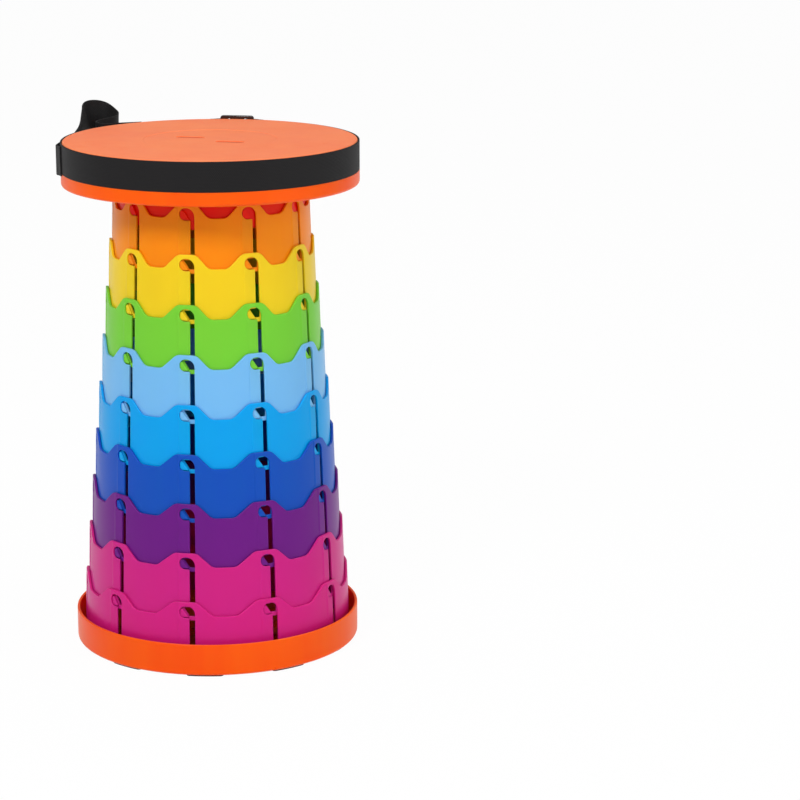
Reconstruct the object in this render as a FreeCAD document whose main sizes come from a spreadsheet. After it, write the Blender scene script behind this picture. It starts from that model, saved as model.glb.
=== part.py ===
import FreeCAD, Part
import math
import os

import Sketcher
from FreeCAD import Placement, Rotation, Vector

# A telescopic stool: a dish on rubber feet, nine nested tier rings and a round
# seat with a webbing strap. Millimetres, Z up, front towards -Y. The origin is
# on the ground under the middle of the dish. The stool stands fully drawn out.

SIZES = {
    # Heights of the whole stool
    "seat_top": 433.0,
    "collapsed_height": 66.5,
    # Dish
    "foot_thick": 1.5,
    "floor_thick": 1.8,
    "rim_top": 28.5,
    "base_radius": 121.5,
    "base_wall": 2.4,
    "base_edge": 0.9,
    "base_corner": 3.0,
    "floor_rib_height": 6.0,
    "floor_rib_thick": 1.6,
    "floor_hub_radius": 18.0,
    "hub_wall": 2.0,
    "floor_rib_clear": 2.0,
    # Feet, in degrees round the dish
    "foot_span": 15.4,
    "foot_inner": 103.0,
    "foot_outer": 118.0,
    "foot_turn": -5.8,
    # Tier rings
    "ring_height": 57.2,
    "first_top": 62.3,
    "pitch": 41.15,
    "ring_radius": 112.5,
    "ring_step": 3.8,
    "ring_wall": 2.1,
    "slide_gap": 0.3,
    "floor_gap": 0.3,
    # Pattern round each ring, in degrees
    "slot_turn": -11.0,
    "slot_half": 1.2,
    "hump_left": 8.2,
    "hump_right": 2.1,
    "slope_right": 7.0,
    "slope_left": 8.3,
    # Pattern up each ring
    "dip_depth": 12.0,
    "dip_corner": 8.0,
    "band_below_slot": 3.5,
    "pocket_below_top": 3.4,
    "pocket_height": 10.2,
    "pocket_reach": 10.8,
    "pocket_bend": 7.0,
    # Lugs
    "lug_width": 7.6,
    "lug_height": 7.6,
    "lug_slant": 5.2,
    "lug_above_pocket_foot": 0.3,
    "lug_inset": 0.6,
    "lug_out": 1.4,
    "lug_clear": 0.25,
    "lug_corner": 1.5,
    "lug_tip": 1.2,
    "lug_tip_right": 0.7,
    "lug_tip_left": 0.5,
    "lug_tip_drop": 0.6,
    "opening_gap": 0.5,
    "opening_height": 8.4,
    # Seat
    "seat_radius": 125.0,
    "channel_radius": 123.6,
    "skirt_inner": 122.0,
    "skirt_bottom": 396.1,
    "skirt_edge": 2.4,
    "strap_bottom": 407.8,
    "cover_thick": 2.5,
    "cover_radius": 123.4,
    "cover_edge": 1.6,
    "pan_thick": 2.2,
    "relief_depth": 1.1,
    "relief_inner": 107.0,
    "relief_outer": 118.0,
    "pan_rib_height": 9.0,
    "pan_rib_thick": 1.8,
    "pan_hub_radius": 16.0,
    "pan_rib_clear": 8.0,
    "gusset_height": 14.0,
    "gusset_reach": 3.4,
    "gusset_face": 2.0,
    "dish_mark_radius": 56.0,
    "dish_mark_depth": 0.4,
    "dish_mark_slope": 1.0,
    "mark_length": 25.0,
    "mark_width": 9.0,
    "mark_depth": 0.8,
    "mark_side": 16.5,
    "mark_front": 14.5,
    "mark_turn": -15.0,
    # Screws of the seat
    "seat_screw_circle": 71.6,
    "seat_post": 7.0,
    "post_clear": 0.2,
    "post_length": 9.0,
    "socket_wall": 1.9,
    "socket_length": 14.0,
    "socket_web": 3.0,
    "seat_shank": 3.6,
    "seat_shank_clear": 0.4,
    "seat_shank_length": 13.6,
    "seat_head": 7.0,
    "seat_head_thick": 2.4,
    # Screws of the dish
    "base_screw_circle": 116.3,
    "base_screw_turn": 12.2,
    "base_post": 4.9,
    "base_post_height": 2.0,
    "ring_post_height": 10.0,
    "ring_seat_clear": 0.05,
    "base_shank": 2.6,
    "base_shank_clear": 0.2,
    "base_shank_length": 9.0,
    "base_head": 4.8,
    "base_head_thick": 1.5,
    # Strap
    "web_width": 24.8,
    "web_thick": 1.3,
    "web_clear": 0.1,
    "buckle_turn": 79.0,
    "side_bar": 5.0,
    "middle_bar": 12.0,
    "buckle_slot": 4.0,
    "buckle_thick": 2.5,
    "buckle_rail": 2.8,
    "buckle_edge": 0.7,
    "buckle_room": 0.3,
    "fold_length": 14.0,
    # Carry loop, turns in degrees round the seat
    "loop_start": 118.5,
    "loop_leave": 133.5,
    "loop_return": 160.0,
    "loop_bump": 177.0,
    "loop_end": 191.0,
    "loop_bump_out": 3.6,
    "leave_radius": 9.0,
    "return_radius": 25.0,
    "bow_radius": 16.5,
    "bow_left": 101.5,
    "bow_back": 124.0,
    "rise_turn": 147.0,
    "rise_from": 125.5,
    "rise_slope": 0.38,
    # Stitches
    "stitch_length": 9.0,
    "stitch_width": 1.3,
    "stitch_thick": 0.4,
    "stitch_gap": 3.0,
    "stitch_leave": 124.0,
    "stitch_return": 172.0,
}
TIERS = 9
SLOTS = 10
SCREWS = 5
GUSSETS = 20
# How far a cut runs past what it cuts
BEYOND = "1"
# How far an added feature starts inside what it grows from
SUNK = "0.5"

doc = FreeCAD.newDocument("TelescopicStool")
sheet = doc.addObject("Spreadsheet::Sheet", "Sizes")
for row, (word, value) in enumerate(SIZES.items(), start=1):
    sheet.set(f"A{row}", word)
    sheet.set(f"B{row}", str(value))
    sheet.setAlias(f"B{row}", word)
doc.recompute()

parts = []


def size(expression):
    """The number that an expression of the sheet's words comes to."""
    return float(sheet.evalExpression(expression))


def s(word):
    """A word of the sheet as an expression."""
    return f"Sizes.{word}"


def number(word):
    """The number in the sheet's cell of that word."""
    return float(sheet.get(word))


def bind(thing, **expressions):
    """Tie properties of an object to expressions of the sheet's words."""
    for name, expression in expressions.items():
        thing.setExpression(name, expression)


def keep(thing, label, z="0", turn="0"):
    """Name a finished piece and tie its height and turn to the sheet."""
    thing.Label = label
    thing.setExpression(".Placement.Base.z", z)
    if turn != "0":
        thing.Placement = Placement(thing.Placement.Base, Rotation(Vector(0, 0, 1), 1))
        thing.setExpression(".Placement.Rotation.Angle", turn)
    parts.append(thing)
    return thing


def origin_feature(body, role):
    """The origin plane or axis of a body that has this role."""
    return next(f for f in body.Origin.OriginFeatures if f.Role == role)


def new_body(name):
    """An empty body of the document."""
    return doc.addObject("PartDesign::Body", name)


def arc_between(start, end, radius, left):
    """The short arc from start to end, bulging to the left or right of that way."""
    chord = end - start
    half = chord.Length / 2
    side = Vector(-chord.y, chord.x, 0).normalize()
    if not left:
        side = -side
    middle = start + chord * 0.5
    centre = middle - side * math.sqrt(max(radius * radius - half * half, 0))
    top = centre + side * radius
    return Part.ArcOfCircle(start, top, end)


def sketch_on(body, name, role, corners, turn=None, out=None):
    """A closed outline on an origin plane of its body.

    Each corner is (x, y) or (x, y, radius, left): the last two make the edge
    from this corner to the next one an arc that bulges left or right of its
    way. turn swings the sketch about Z and out moves it out along its normal.
    """
    sketch = body.newObject("Sketcher::SketchObject", name)
    sketch.AttachmentSupport = [(origin_feature(body, role), "")]
    sketch.MapMode = "FlatFace"
    if turn:
        sketch.AttachmentOffset = Placement(Vector(), Rotation(Vector(0, 1, 0), 1))
        sketch.setExpression(".AttachmentOffset.Rotation.Angle", turn)
        if out:
            sketch.setExpression(".AttachmentOffset.Base.x", f"{out} * sin({turn} * 1 deg)")
            sketch.setExpression(".AttachmentOffset.Base.z", f"{out} * cos({turn} * 1 deg)")
    elif out:
        sketch.setExpression(".AttachmentOffset.Base.z", out)
    places = [Vector(size(c[0]), size(c[1]), 0) for c in corners]
    edges = []
    for i, corner in enumerate(corners):
        start, end = places[i], places[(i + 1) % len(places)]
        if len(corner) == 4:
            edges.append(arc_between(start, end, size(corner[2]), corner[3]))
        else:
            edges.append(Part.LineSegment(start, end))
    sketch.addGeometry(edges, False)
    ends = []
    for i, corner in enumerate(corners):
        # An arc always runs anticlockwise, so one that bulges left is stored
        # from its far end to its near end
        backwards = len(corner) == 4 and corner[3]
        ends.append((2, 1) if backwards else (1, 2))
    for i, corner in enumerate(corners):
        after = (i + 1) % len(corners)
        sketch.addConstraint(Sketcher.Constraint("Coincident", i, ends[i][1], after, ends[after][0]))
        for axis, expression in (("DistanceX", corner[0]), ("DistanceY", corner[1])):
            place = places[i].x if axis == "DistanceX" else places[i].y
            tie = sketch.addConstraint(Sketcher.Constraint(axis, -1, 1, i, ends[i][0], place))
            sketch.setExpression(f"Constraints[{tie}]", expression)
        if len(corner) == 4:
            tie = sketch.addConstraint(Sketcher.Constraint("Radius", i, size(corner[2])))
            sketch.setExpression(f"Constraints[{tie}]", corner[2])
    sketch.Visibility = False
    return sketch


def circle_on(body, name, role, x, y, diameter, height=None):
    """A circle on an origin plane of its body, height above it."""
    sketch = body.newObject("Sketcher::SketchObject", name)
    sketch.AttachmentSupport = [(origin_feature(body, role), "")]
    sketch.MapMode = "FlatFace"
    if height:
        sketch.setExpression(".AttachmentOffset.Base.z", height)
    middle = Vector(size(x), size(y), 0)
    sketch.addGeometry(Part.Circle(middle, Vector(0, 0, 1), size(diameter) / 2), False)
    for axis, expression in (("DistanceX", x), ("DistanceY", y)):
        tie = sketch.addConstraint(Sketcher.Constraint(axis, -1, 1, 0, 3, size(expression)))
        sketch.setExpression(f"Constraints[{tie}]", expression)
    tie = sketch.addConstraint(Sketcher.Constraint("Diameter", 0, size(diameter)))
    sketch.setExpression(f"Constraints[{tie}]", diameter)
    return sketch


def revolve(body, name, corners, degrees=None):
    """A solid turned about Z from an outline of (radius, height) corners."""
    feature = body.newObject("PartDesign::Revolution", name)
    feature.Profile = sketch_on(body, name + "Outline", "XZ_Plane", corners)
    feature.ReferenceAxis = (origin_feature(body, "Z_Axis"), [""])
    if degrees:
        feature.Midplane = True
        feature.setExpression("Angle", degrees)
    return feature


def pad(body, name, sketch, length, reverse=False, symmetric=False):
    """Add a sketch's outline to a body, as deep as length."""
    feature = body.newObject("PartDesign::Pad", name)
    feature.Profile = sketch
    feature.setExpression("Length", length)
    feature.Reversed = reverse
    feature.Refine = False
    feature.Midplane = symmetric
    return feature


def pocket(body, name, sketch, length, reverse=False):
    """Cut a sketch's outline from a body, as deep as length."""
    feature = body.newObject("PartDesign::Pocket", name)
    feature.Profile = sketch
    feature.setExpression("Length", length)
    feature.Reversed = reverse
    feature.Refine = False
    return feature


def around(body, name, features, count):
    """Repeat features round Z and make the repeat the body's last feature."""
    pattern = body.newObject("PartDesign::PolarPattern", name)
    pattern.Originals = features
    pattern.Axis = (origin_feature(body, "Z_Axis"), [""])
    pattern.Angle = 360
    pattern.Occurrences = count
    pattern.Refine = False
    body.Tip = pattern
    return pattern


def cylinder(name, radius, height, z="0", x="0", y="0"):
    """An upright cylinder whose lower face is at x, y, z."""
    thing = doc.addObject("Part::Cylinder", name)
    bind(thing, Radius=radius, Height=height)
    thing.setExpression(".Placement.Base.x", x)
    thing.setExpression(".Placement.Base.y", y)
    thing.setExpression(".Placement.Base.z", z)
    return thing


def joined(kind, name, things):
    """A boolean or a compound of several objects."""
    thing = doc.addObject(kind, name)
    if kind == "Part::Cut":
        thing.Base, thing.Tool = things
    elif kind == "Part::Compound":
        thing.Links = things
    else:
        thing.Shapes = things
    return thing


FLOOR_TOP = f"({s('foot_thick')} + {s('floor_thick')})"
# How much a ring's radius shrinks for each millimetre up
TAPER = f"(({s('ring_step')} - {s('ring_wall')} - {s('slide_gap')}) / {s('pitch')})"


def ring_top_radius(tier):
    """Outside radius of a ring at its highest edge."""
    return f"({s('ring_radius')} - {s('ring_step')} * {tier - 1})"


def ring_bottom(tier):
    """Height of a drawn-out ring's lower edge; the first one reaches the floor."""
    if tier == 1:
        return FLOOR_TOP
    return f"({s('first_top')} + {s('pitch')} * {tier - 1} - {s('ring_height')})"


def ring_length(tier):
    """Height of a ring; the first one is longer, because it reaches the floor."""
    return f"({s('first_top')} - {FLOOR_TOP})" if tier == 1 else s("ring_height")


def slope_corners(x_top, x_foot, top, foot, foot_first):
    """Four corners of a slope from the hump's top to the dip's floor, rounded at both."""
    run = f"abs({x_foot} - {x_top})"
    drop = f"({top} - {foot})"
    slope = f"sqrt({run} ^ 2 + {drop} ^ 2)"
    tangent = f"({s('dip_corner')} * ({slope} - {run}) / {drop})"
    way = 1 if size(x_foot) > size(x_top) else -1
    along_x = f"({way} * {tangent} * {run} / {slope})"
    along_y = f"({tangent} * {drop} / {slope})"
    corners = [
        (f"{x_top} - {way} * {tangent}", top),
        (f"{x_top} + {along_x}", f"{top} - {along_y}"),
        (f"{x_foot} - {along_x}", f"{foot} + {along_y}"),
        (f"{x_foot} + {way} * {tangent}", foot),
    ]
    return corners[::-1] if foot_first else corners


def dip_outline(tier):
    """The dip between two humps of a ring, seen from outside, about its own middle."""
    degree = f"({ring_top_radius(tier)} * pi / 180)"
    top = ring_length(tier)
    foot = f"({top} - {s('dip_depth')})"
    width = f"(360 / {SLOTS} - {s('hump_left')} - {s('hump_right')})"
    left_top = f"(-{width} / 2 * {degree})"
    right_top = f"({width} / 2 * {degree})"
    left_foot = f"({left_top} + {s('slope_right')} * {degree})"
    right_foot = f"({right_top} - {s('slope_left')} * {degree})"
    down = slope_corners(left_top, left_foot, top, foot, False)
    up = slope_corners(right_top, right_foot, top, foot, True)
    radius = s("dip_corner")
    above = f"({top} + {BEYOND})"
    return [
        (down[0][0], above),
        (down[0][0], top, radius, True),
        (down[1][0], down[1][1]),
        (down[2][0], down[2][1], radius, False),
        (down[3][0], down[3][1]),
        (up[0][0], up[0][1], radius, False),
        (up[1][0], up[1][1]),
        (up[2][0], up[2][1], radius, True),
        (up[3][0], up[3][1]),
        (up[3][0], above),
    ]


def opening_side(tier, height):
    """Where the left side of the opening beside a lug runs at a height, along the lug's slant."""
    start = f"({s('lug_inset')} - {s('pocket_reach')} + {s('lug_width')} + {s('opening_gap')})"
    across = f"({s('lug_slant')} - {s('lug_tip_right')})"
    lean = f"({across} / ({s('lug_height')} - {s('lug_tip_drop')}))"
    return f"({start} - {lean} * ({height} - {lug_foot(tier)}))"


def slot_outline(tier):
    """The hooked slot: straight up from the band, then round to the pocket on its left.

    Beside the ring's own lug the slot is wider, as far as the lug's slanted side.
    """
    top = ring_length(tier)
    half = f"({s('slot_half')} * {ring_top_radius(tier)} * pi / 180)"
    ceiling = f"({top} - {s('pocket_below_top')})"
    pocket_foot = f"({ceiling} - {s('pocket_height')})"
    round_end = f"({s('pocket_height')} / 2)"
    band = s("band_below_slot")
    opening_top = f"({lug_foot(tier)} + {s('opening_height')})"
    left_side = [(f"-{half}", band)]
    if tier > 1:
        left_side = [
            (f"-{half}", opening_top),
            (opening_side(tier, opening_top), opening_top),
            (opening_side(tier, band), band),
        ]
    return left_side + [
        (half, band),
        (half, f"{ceiling} - {s('pocket_bend')}", s("pocket_bend"), False),
        (f"{half} - {s('pocket_bend')}", ceiling),
        (f"{round_end} - {s('pocket_reach')}", ceiling, round_end, False),
        (f"-{s('pocket_reach')}", f"{ceiling} - {round_end}", round_end, False),
        (f"{round_end} - {s('pocket_reach')}", pocket_foot),
        (f"-{half}", pocket_foot),
    ]


def lug_outline(foot):
    """A lug: upright on the left, slanted on the right, about the slot's middle line."""
    left = f"({s('lug_inset')} - {s('pocket_reach')})"
    head = f"({foot} + {s('lug_height')})"
    soft = s("lug_corner")
    tip = f"({left} + {s('lug_width')} - {s('lug_slant')})"
    return [
        (f"{left} + {soft}", foot),
        (f"{left} + {s('lug_width')}", foot),
        (f"{tip} + {s('lug_tip_right')}", f"{head} - {s('lug_tip_drop')}", s("lug_tip"), False),
        (f"{tip} - {s('lug_tip_left')}", head),
        (f"{left} + {soft}", head, soft, False),
        (left, f"{head} - {soft}"),
        (left, f"{foot} + {soft}", soft, False),
    ]


def lug_face(tier):
    """Distance from the axis to the flat face of a ring's lugs."""
    if tier > TIERS:
        return f"({collar_radius('0')} + {s('lug_out')})"
    return f"({ring_top_radius(tier)} + {s('ring_height')} * {TAPER} + {s('lug_out')})"


def lug_foot(tier):
    """Height of a lug's foot above the lower edge of the ring that carries it."""
    below_top = f"({s('pocket_below_top')} + {s('pocket_height')} - {s('lug_above_pocket_foot')})"
    if tier > TIERS:
        return f"({last_top()} - {below_top} - {collar_bottom()})"
    return f"({s('ring_height')} - {s('pitch')} - {below_top})"


def last_top():
    """Height of the highest edge of the drawn-out last ring."""
    return f"({s('first_top')} + {s('pitch')} * {TIERS - 1})"


def seat_drop():
    """How far the seat goes down from drawn out to pushed down."""
    return f"({s('seat_top')} - {s('collapsed_height')})"


def collar_bottom():
    """Lower edge of the drawn-out collar, just off the floor once it is pushed down."""
    return f"({FLOOR_TOP} + {s('floor_gap')} + {seat_drop()})"


def collar_radius(height):
    """Outside radius of the collar at a height above its lower edge."""
    return (
        f"({ring_top_radius(TIERS)} + ({last_top()} - {collar_bottom()} - {height}) * {TAPER}"
        f" - {s('ring_wall')} - {s('slide_gap')})"
    )


def build_ring(tier):
    """A tier: a conical wall with ten dips, hooked slots, ways and lugs."""
    body = new_body(f"Ring{tier}")
    length = ring_length(tier)
    top = ring_top_radius(tier)
    foot = f"({top} + {length} * {TAPER})"
    wall = s("ring_wall")
    revolve(
        body,
        f"Ring{tier}Wall",
        [(f"{foot} - {wall}", "0"), (foot, "0"), (top, length), (f"{top} - {wall}", length)],
    )
    repeated = []
    dip_middle = f"({s('slot_turn')} + (360 / {SLOTS} - {s('hump_left')} + {s('hump_right')}) / 2)"
    reach = f"({foot} + {BEYOND})"
    sketch = sketch_on(body, f"Ring{tier}DipOutline", "XZ_Plane", dip_outline(tier), turn=dip_middle)
    repeated.append(pocket(body, f"Ring{tier}Dip", sketch, reach, reverse=True))
    sketch = sketch_on(body, f"Ring{tier}SlotOutline", "XZ_Plane", slot_outline(tier), turn=s("slot_turn"))
    repeated.append(pocket(body, f"Ring{tier}Slot", sketch, reach, reverse=True))
    # The way down inside the wall for the lugs of the next tier
    pocket_foot = f"({length} - {s('pocket_below_top')} - {s('pocket_height')} / 2)"
    left = f"({s('lug_inset')} - {s('pocket_reach')} - {s('lug_clear')})"
    right = f"({left} + {s('lug_width')} + 2 * {s('lug_clear')})"
    sketch = sketch_on(
        body,
        f"Ring{tier}WayOutline",
        "XZ_Plane",
        [(left, f"-{BEYOND}"), (right, f"-{BEYOND}"), (right, pocket_foot), (left, pocket_foot)],
        turn=s("slot_turn"),
        out=f"({lug_face(tier + 1)} + {s('lug_clear')})",
    )
    repeated.append(pocket(body, f"Ring{tier}Way", sketch, f"(2 * {wall} + {s('lug_out')})"))
    if tier > 1:
        sketch = sketch_on(
            body,
            f"Ring{tier}LugOutline",
            "XZ_Plane",
            lug_outline(lug_foot(tier)),
            turn=s("slot_turn"),
            out=f"({lug_face(tier)} - {s('lug_out')} - {wall} / 2)",
        )
        repeated.append(pad(body, f"Ring{tier}Lug", sketch, f"({wall} / 2 + {s('lug_out')})"))
    around(body, f"Ring{tier}Around", repeated, SLOTS)
    if tier == 1:
        turn = f"({s('base_screw_turn')} - 90)"
        x = f"({s('base_screw_circle')} * cos({turn} * 1 deg))"
        y = f"({s('base_screw_circle')} * sin({turn} * 1 deg))"
        low = s("base_post_height")
        sketch = circle_on(body, "RingPostOutline", "XY_Plane", x, y, s("base_post"), low)
        post = pad(body, "RingPost", sketch, s("ring_post_height"))
        around(body, "RingPosts", [post], SCREWS)
        sketch = circle_on(body, "RingPilotOutline", "XY_Plane", x, y, s("base_shank"), low)
        pilot = pocket(body, "RingPilot", sketch, s("ring_post_height"), reverse=True)
        around(body, "RingPilots", [pilot], SCREWS)
    return keep(body, f"ring_{tier}", z=ring_bottom(tier))


def build_base():
    """The dish: rim, floor, hub, ribs and the posts and bores of its screws."""
    body = new_body("BaseDish")
    radius = s("base_radius")
    inner = f"({radius} - {s('base_wall')})"
    low = s("foot_thick")
    rim = s("rim_top")
    edge = s("base_edge")
    soft = s("base_corner")
    revolve(
        body,
        "Dish",
        [
            ("0", low),
            (f"{radius} - {soft}", low, soft, False),
            (radius, f"{low} + {soft}"),
            (radius, f"{rim} - {edge}", edge, False),
            (f"{radius} - {edge}", rim),
            (f"{inner} + {edge}", rim, edge, False),
            (inner, f"{rim} - {edge}"),
            (inner, FLOOR_TOP),
            ("0", FLOOR_TOP),
        ],
    )
    turn = f"({s('base_screw_turn')} - 90)"
    x = f"({s('base_screw_circle')} * cos({turn} * 1 deg))"
    y = f"({s('base_screw_circle')} * sin({turn} * 1 deg))"
    sketch = circle_on(body, "BasePostOutline", "XY_Plane", x, y, s("base_post"), FLOOR_TOP)
    post = pad(body, "BasePost", sketch, s("base_post_height"))
    around(body, "BasePosts", [post], SCREWS)
    # The posts stop at the wall of the first tier, which stands on the floor
    room = f"(2 * ({ring_top_radius(1)} + {ring_length(1)} * {TAPER} + {s('ring_seat_clear')}))"
    sketch = circle_on(body, "RingSeatOutline", "XY_Plane", "0", "0", room, FLOOR_TOP)
    pocket(body, "RingSeat", sketch, f"({s('base_post_height')} + {BEYOND})", reverse=True)
    reach = f"({collar_radius('0')} - 2 * {s('ring_wall')} - {s('floor_rib_clear')})"
    half = f"({s('floor_rib_thick')} / 2)"
    hub = s("floor_hub_radius")
    hub_wall = s("hub_wall")
    sketch = sketch_on(
        body,
        "FloorRibOutline",
        "XY_Plane",
        [(hub, f"-{half}"), (reach, f"-{half}"), (reach, half), (hub, half)],
    )
    sketch.setExpression(".AttachmentOffset.Base.z", f"{FLOOR_TOP} - {SUNK}")
    rib = pad(body, "FloorRib", sketch, f"({s('floor_rib_height')} + {SUNK})")
    around(body, "FloorRibs", [rib], SLOTS)
    sketch = circle_on(body, "FloorHubOutline", "XY_Plane", "0", "0", f"(2 * {hub} + {hub_wall})", FLOOR_TOP)
    pad(body, "FloorHub", sketch, s("floor_rib_height"))
    bore = f"(2 * {hub} - {hub_wall})"
    sketch = circle_on(body, "FloorHubBoreOutline", "XY_Plane", "0", "0", bore, FLOOR_TOP)
    pocket(body, "FloorHubBore", sketch, f"({s('floor_rib_height')} + {BEYOND})", reverse=True)
    bore = f"({s('base_shank')} + {s('base_shank_clear')})"
    sketch = circle_on(body, "BaseBoreOutline", "XY_Plane", x, y, bore)
    deep = f"({FLOOR_TOP} + {s('base_post_height')} + {BEYOND})"
    hole = pocket(body, "BaseBore", sketch, deep, reverse=True)
    around(body, "BaseBores", [hole], SCREWS)
    sink = f"({s('base_head')} + {s('base_shank_clear')})"
    sketch = circle_on(body, "BaseSinkOutline", "XY_Plane", x, y, sink)
    hole = pocket(body, "BaseSink", sketch, f"({low} + {s('base_head_thick')})", reverse=True)
    around(body, "BaseSinks", [hole], SCREWS)
    return keep(body, "base_dish")


def build_feet():
    """Ten rubber pads under the dish's edge."""
    feet = []
    for count in range(SLOTS):
        pad_block = cylinder(f"Foot{count}Block", s("foot_outer"), s("foot_thick"))
        core = cylinder(f"Foot{count}Core", s("foot_inner"), s("foot_thick"))
        for thing in (pad_block, core):
            bind(thing, Angle=s("foot_span"))
            thing.Placement = Placement(Vector(), Rotation(Vector(0, 0, 1), 1))
            start = f"{s('foot_turn')} - {s('foot_span')} / 2 + 270 + {count} * 360 / {SLOTS}"
            thing.setExpression(".Placement.Rotation.Angle", start)
        feet.append(joined("Part::Cut", f"Foot{count}", [pad_block, core]))
    return keep(joined("Part::Compound", "BaseFeet", feet), "base_feet")


def screw_set(name, label, circle, turn, shank, shank_length, head, head_thick, head_foot):
    """Screws on a circle. head_foot is the lower face of the head."""
    screws = []
    for count in range(SCREWS):
        angle = f"(({turn} - 90 + {count} * 360 / {SCREWS}) * 1 deg)"
        x = f"({circle} * cos({angle}))"
        y = f"({circle} * sin({angle}))"
        shank_foot = f"({head_foot} + {head_thick})"
        pin = cylinder(f"{name}Shank{count}", f"({shank} / 2)", shank_length, shank_foot, x, y)
        cap = cylinder(f"{name}Head{count}", f"({head} / 2)", head_thick, head_foot, x, y)
        screws.append(joined("Part::MultiFuse", f"{name}{count}", [pin, cap]))
    return keep(joined("Part::Compound", name, screws), label)


PAN_TOP = f"({s('seat_top')} - {s('cover_thick')})"
PAN_FOOT = f"({PAN_TOP} - {s('pan_thick')})"


def build_pan():
    """The seat's lower shell: plate, skirt, ribs, hub, gussets and bores."""
    body = new_body("SeatPan")
    outer = s("seat_radius")
    inner = s("skirt_inner")
    relief = f"({PAN_FOOT} + {s('relief_depth')})"
    edge = s("skirt_edge")
    revolve(
        body,
        "Pan",
        [
            ("0", PAN_FOOT),
            (s("relief_inner"), PAN_FOOT),
            (s("relief_inner"), relief),
            (s("relief_outer"), relief),
            (inner, PAN_FOOT),
            (inner, s("skirt_bottom")),
            (f"{outer} - {edge}", s("skirt_bottom"), edge, False),
            (outer, f"{s('skirt_bottom')} + {edge}"),
            (outer, s("strap_bottom")),
            (s("channel_radius"), s("strap_bottom")),
            (s("channel_radius"), PAN_TOP),
            ("0", PAN_TOP),
        ],
    )
    half = f"({s('pan_rib_thick')} / 2)"
    hub = s("pan_hub_radius")
    hub_wall = s("hub_wall")
    reach = f"({s('seat_screw_circle')} - {s('pan_rib_clear')})"
    sketch = sketch_on(
        body,
        "PanRibOutline",
        "XY_Plane",
        [(hub, f"-{half}"), (reach, f"-{half}"), (reach, half), (hub, half)],
    )
    sketch.setExpression(".AttachmentOffset.Base.z", f"{PAN_FOOT} - {s('pan_rib_height')}")
    rib = pad(body, "PanRib", sketch, f"({s('pan_rib_height')} + {SUNK})")
    around(body, "PanRibs", [rib], SLOTS)
    foot = f"({PAN_FOOT} - {s('pan_rib_height')})"
    sketch = circle_on(body, "PanHubOutline", "XY_Plane", "0", "0", f"(2 * {hub} + {hub_wall})", foot)
    pad(body, "PanHub", sketch, f"({s('pan_rib_height')} + {SUNK})")
    sketch = circle_on(body, "PanHubBoreOutline", "XY_Plane", "0", "0", f"(2 * {hub} - {hub_wall})", foot)
    pocket(body, "PanHubBore", sketch, s("pan_rib_height"), reverse=True)
    sketch = sketch_on(
        body,
        "GussetOutline",
        "XZ_Plane",
        [
            (f"{inner} - {s('gusset_reach')}", f"{PAN_FOOT} + {SUNK}"),
            (f"{inner} - {s('gusset_reach')}", f"{PAN_FOOT} - {s('gusset_face')}"),
            (f"{inner} + {SUNK}", f"{PAN_FOOT} - {s('gusset_height')}"),
            (f"{inner} + {SUNK}", f"{PAN_FOOT} + {SUNK}"),
        ],
    )
    gusset = pad(body, "Gusset", sketch, s("pan_rib_thick"), symmetric=True)
    around(body, "Gussets", [gusset], GUSSETS)
    bore = f"({s('seat_post')} + 2 * {s('post_clear')})"
    screw_y = f"(-{s('seat_screw_circle')})"
    below = f"({PAN_FOOT} - {BEYOND})"
    sketch = circle_on(body, "PanBoreOutline", "XY_Plane", "0", screw_y, bore, below)
    hole = pocket(body, "PanBore", sketch, f"({s('pan_thick')} + 2 * {BEYOND})", reverse=True)
    around(body, "PanBores", [hole], SCREWS)
    return keep(body, "seat_pan")


def build_cover():
    """The seat's top plate, with two plain long marks and the posts of its screws."""
    body = new_body("SeatCover")
    edge = s("cover_edge")
    radius = s("cover_radius")
    top = s("seat_top")
    mark = s("dish_mark_radius")
    floor = f"({top} - {s('dish_mark_depth')})"
    revolve(
        body,
        "Cover",
        [
            ("0", PAN_TOP),
            (radius, PAN_TOP),
            (radius, f"{top} - {edge}", edge, False),
            (f"{radius} - {edge}", top),
            (mark, top),
            (f"{mark} - {s('dish_mark_slope')}", floor),
            ("0", floor),
        ],
    )
    half = f"({s('mark_length')} / 2 - {s('mark_width')} / 2)"
    wide = f"({s('mark_width')} / 2)"
    for name, side in (("Left", -1), ("Right", 1)):
        sketch = sketch_on(
            body,
            f"{name}MarkOutline",
            "XY_Plane",
            [
                (f"-{half}", f"-{wide}"),
                (half, f"-{wide}", wide, False),
                (f"{half} + {wide}", "0", wide, False),
                (half, wide),
                (f"-{half}", wide, wide, False),
                (f"-{half} - {wide}", "0", wide, False),
            ],
        )
        sketch.AttachmentOffset = Placement(Vector(), Rotation(Vector(0, 0, 1), 1))
        sketch.setExpression(".AttachmentOffset.Rotation.Angle", f"{s('mark_turn')} + 360")
        sketch.setExpression(".AttachmentOffset.Base.x", f"{side} * {s('mark_side')}")
        sketch.setExpression(".AttachmentOffset.Base.y", f"-{side} * {s('mark_front')}")
        sketch.setExpression(".AttachmentOffset.Base.z", f"{floor} - {s('mark_depth')}")
        pocket(body, f"{name}Mark", sketch, f"({s('mark_depth')} + {BEYOND})", reverse=True)
    screw_y = f"(-{s('seat_screw_circle')})"
    foot = f"({PAN_TOP} - {s('post_length')})"
    sketch = circle_on(body, "PostOutline", "XY_Plane", "0", screw_y, s("seat_post"), foot)
    post = pad(body, "Post", sketch, f"({s('post_length')} + {SUNK})")
    around(body, "Posts", [post], SCREWS)
    sketch = circle_on(body, "PilotOutline", "XY_Plane", "0", screw_y, s("seat_shank"), foot)
    pilot = pocket(body, "Pilot", sketch, s("post_length"), reverse=True)
    around(body, "Pilots", [pilot], SCREWS)
    return keep(body, "seat_cover")


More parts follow.
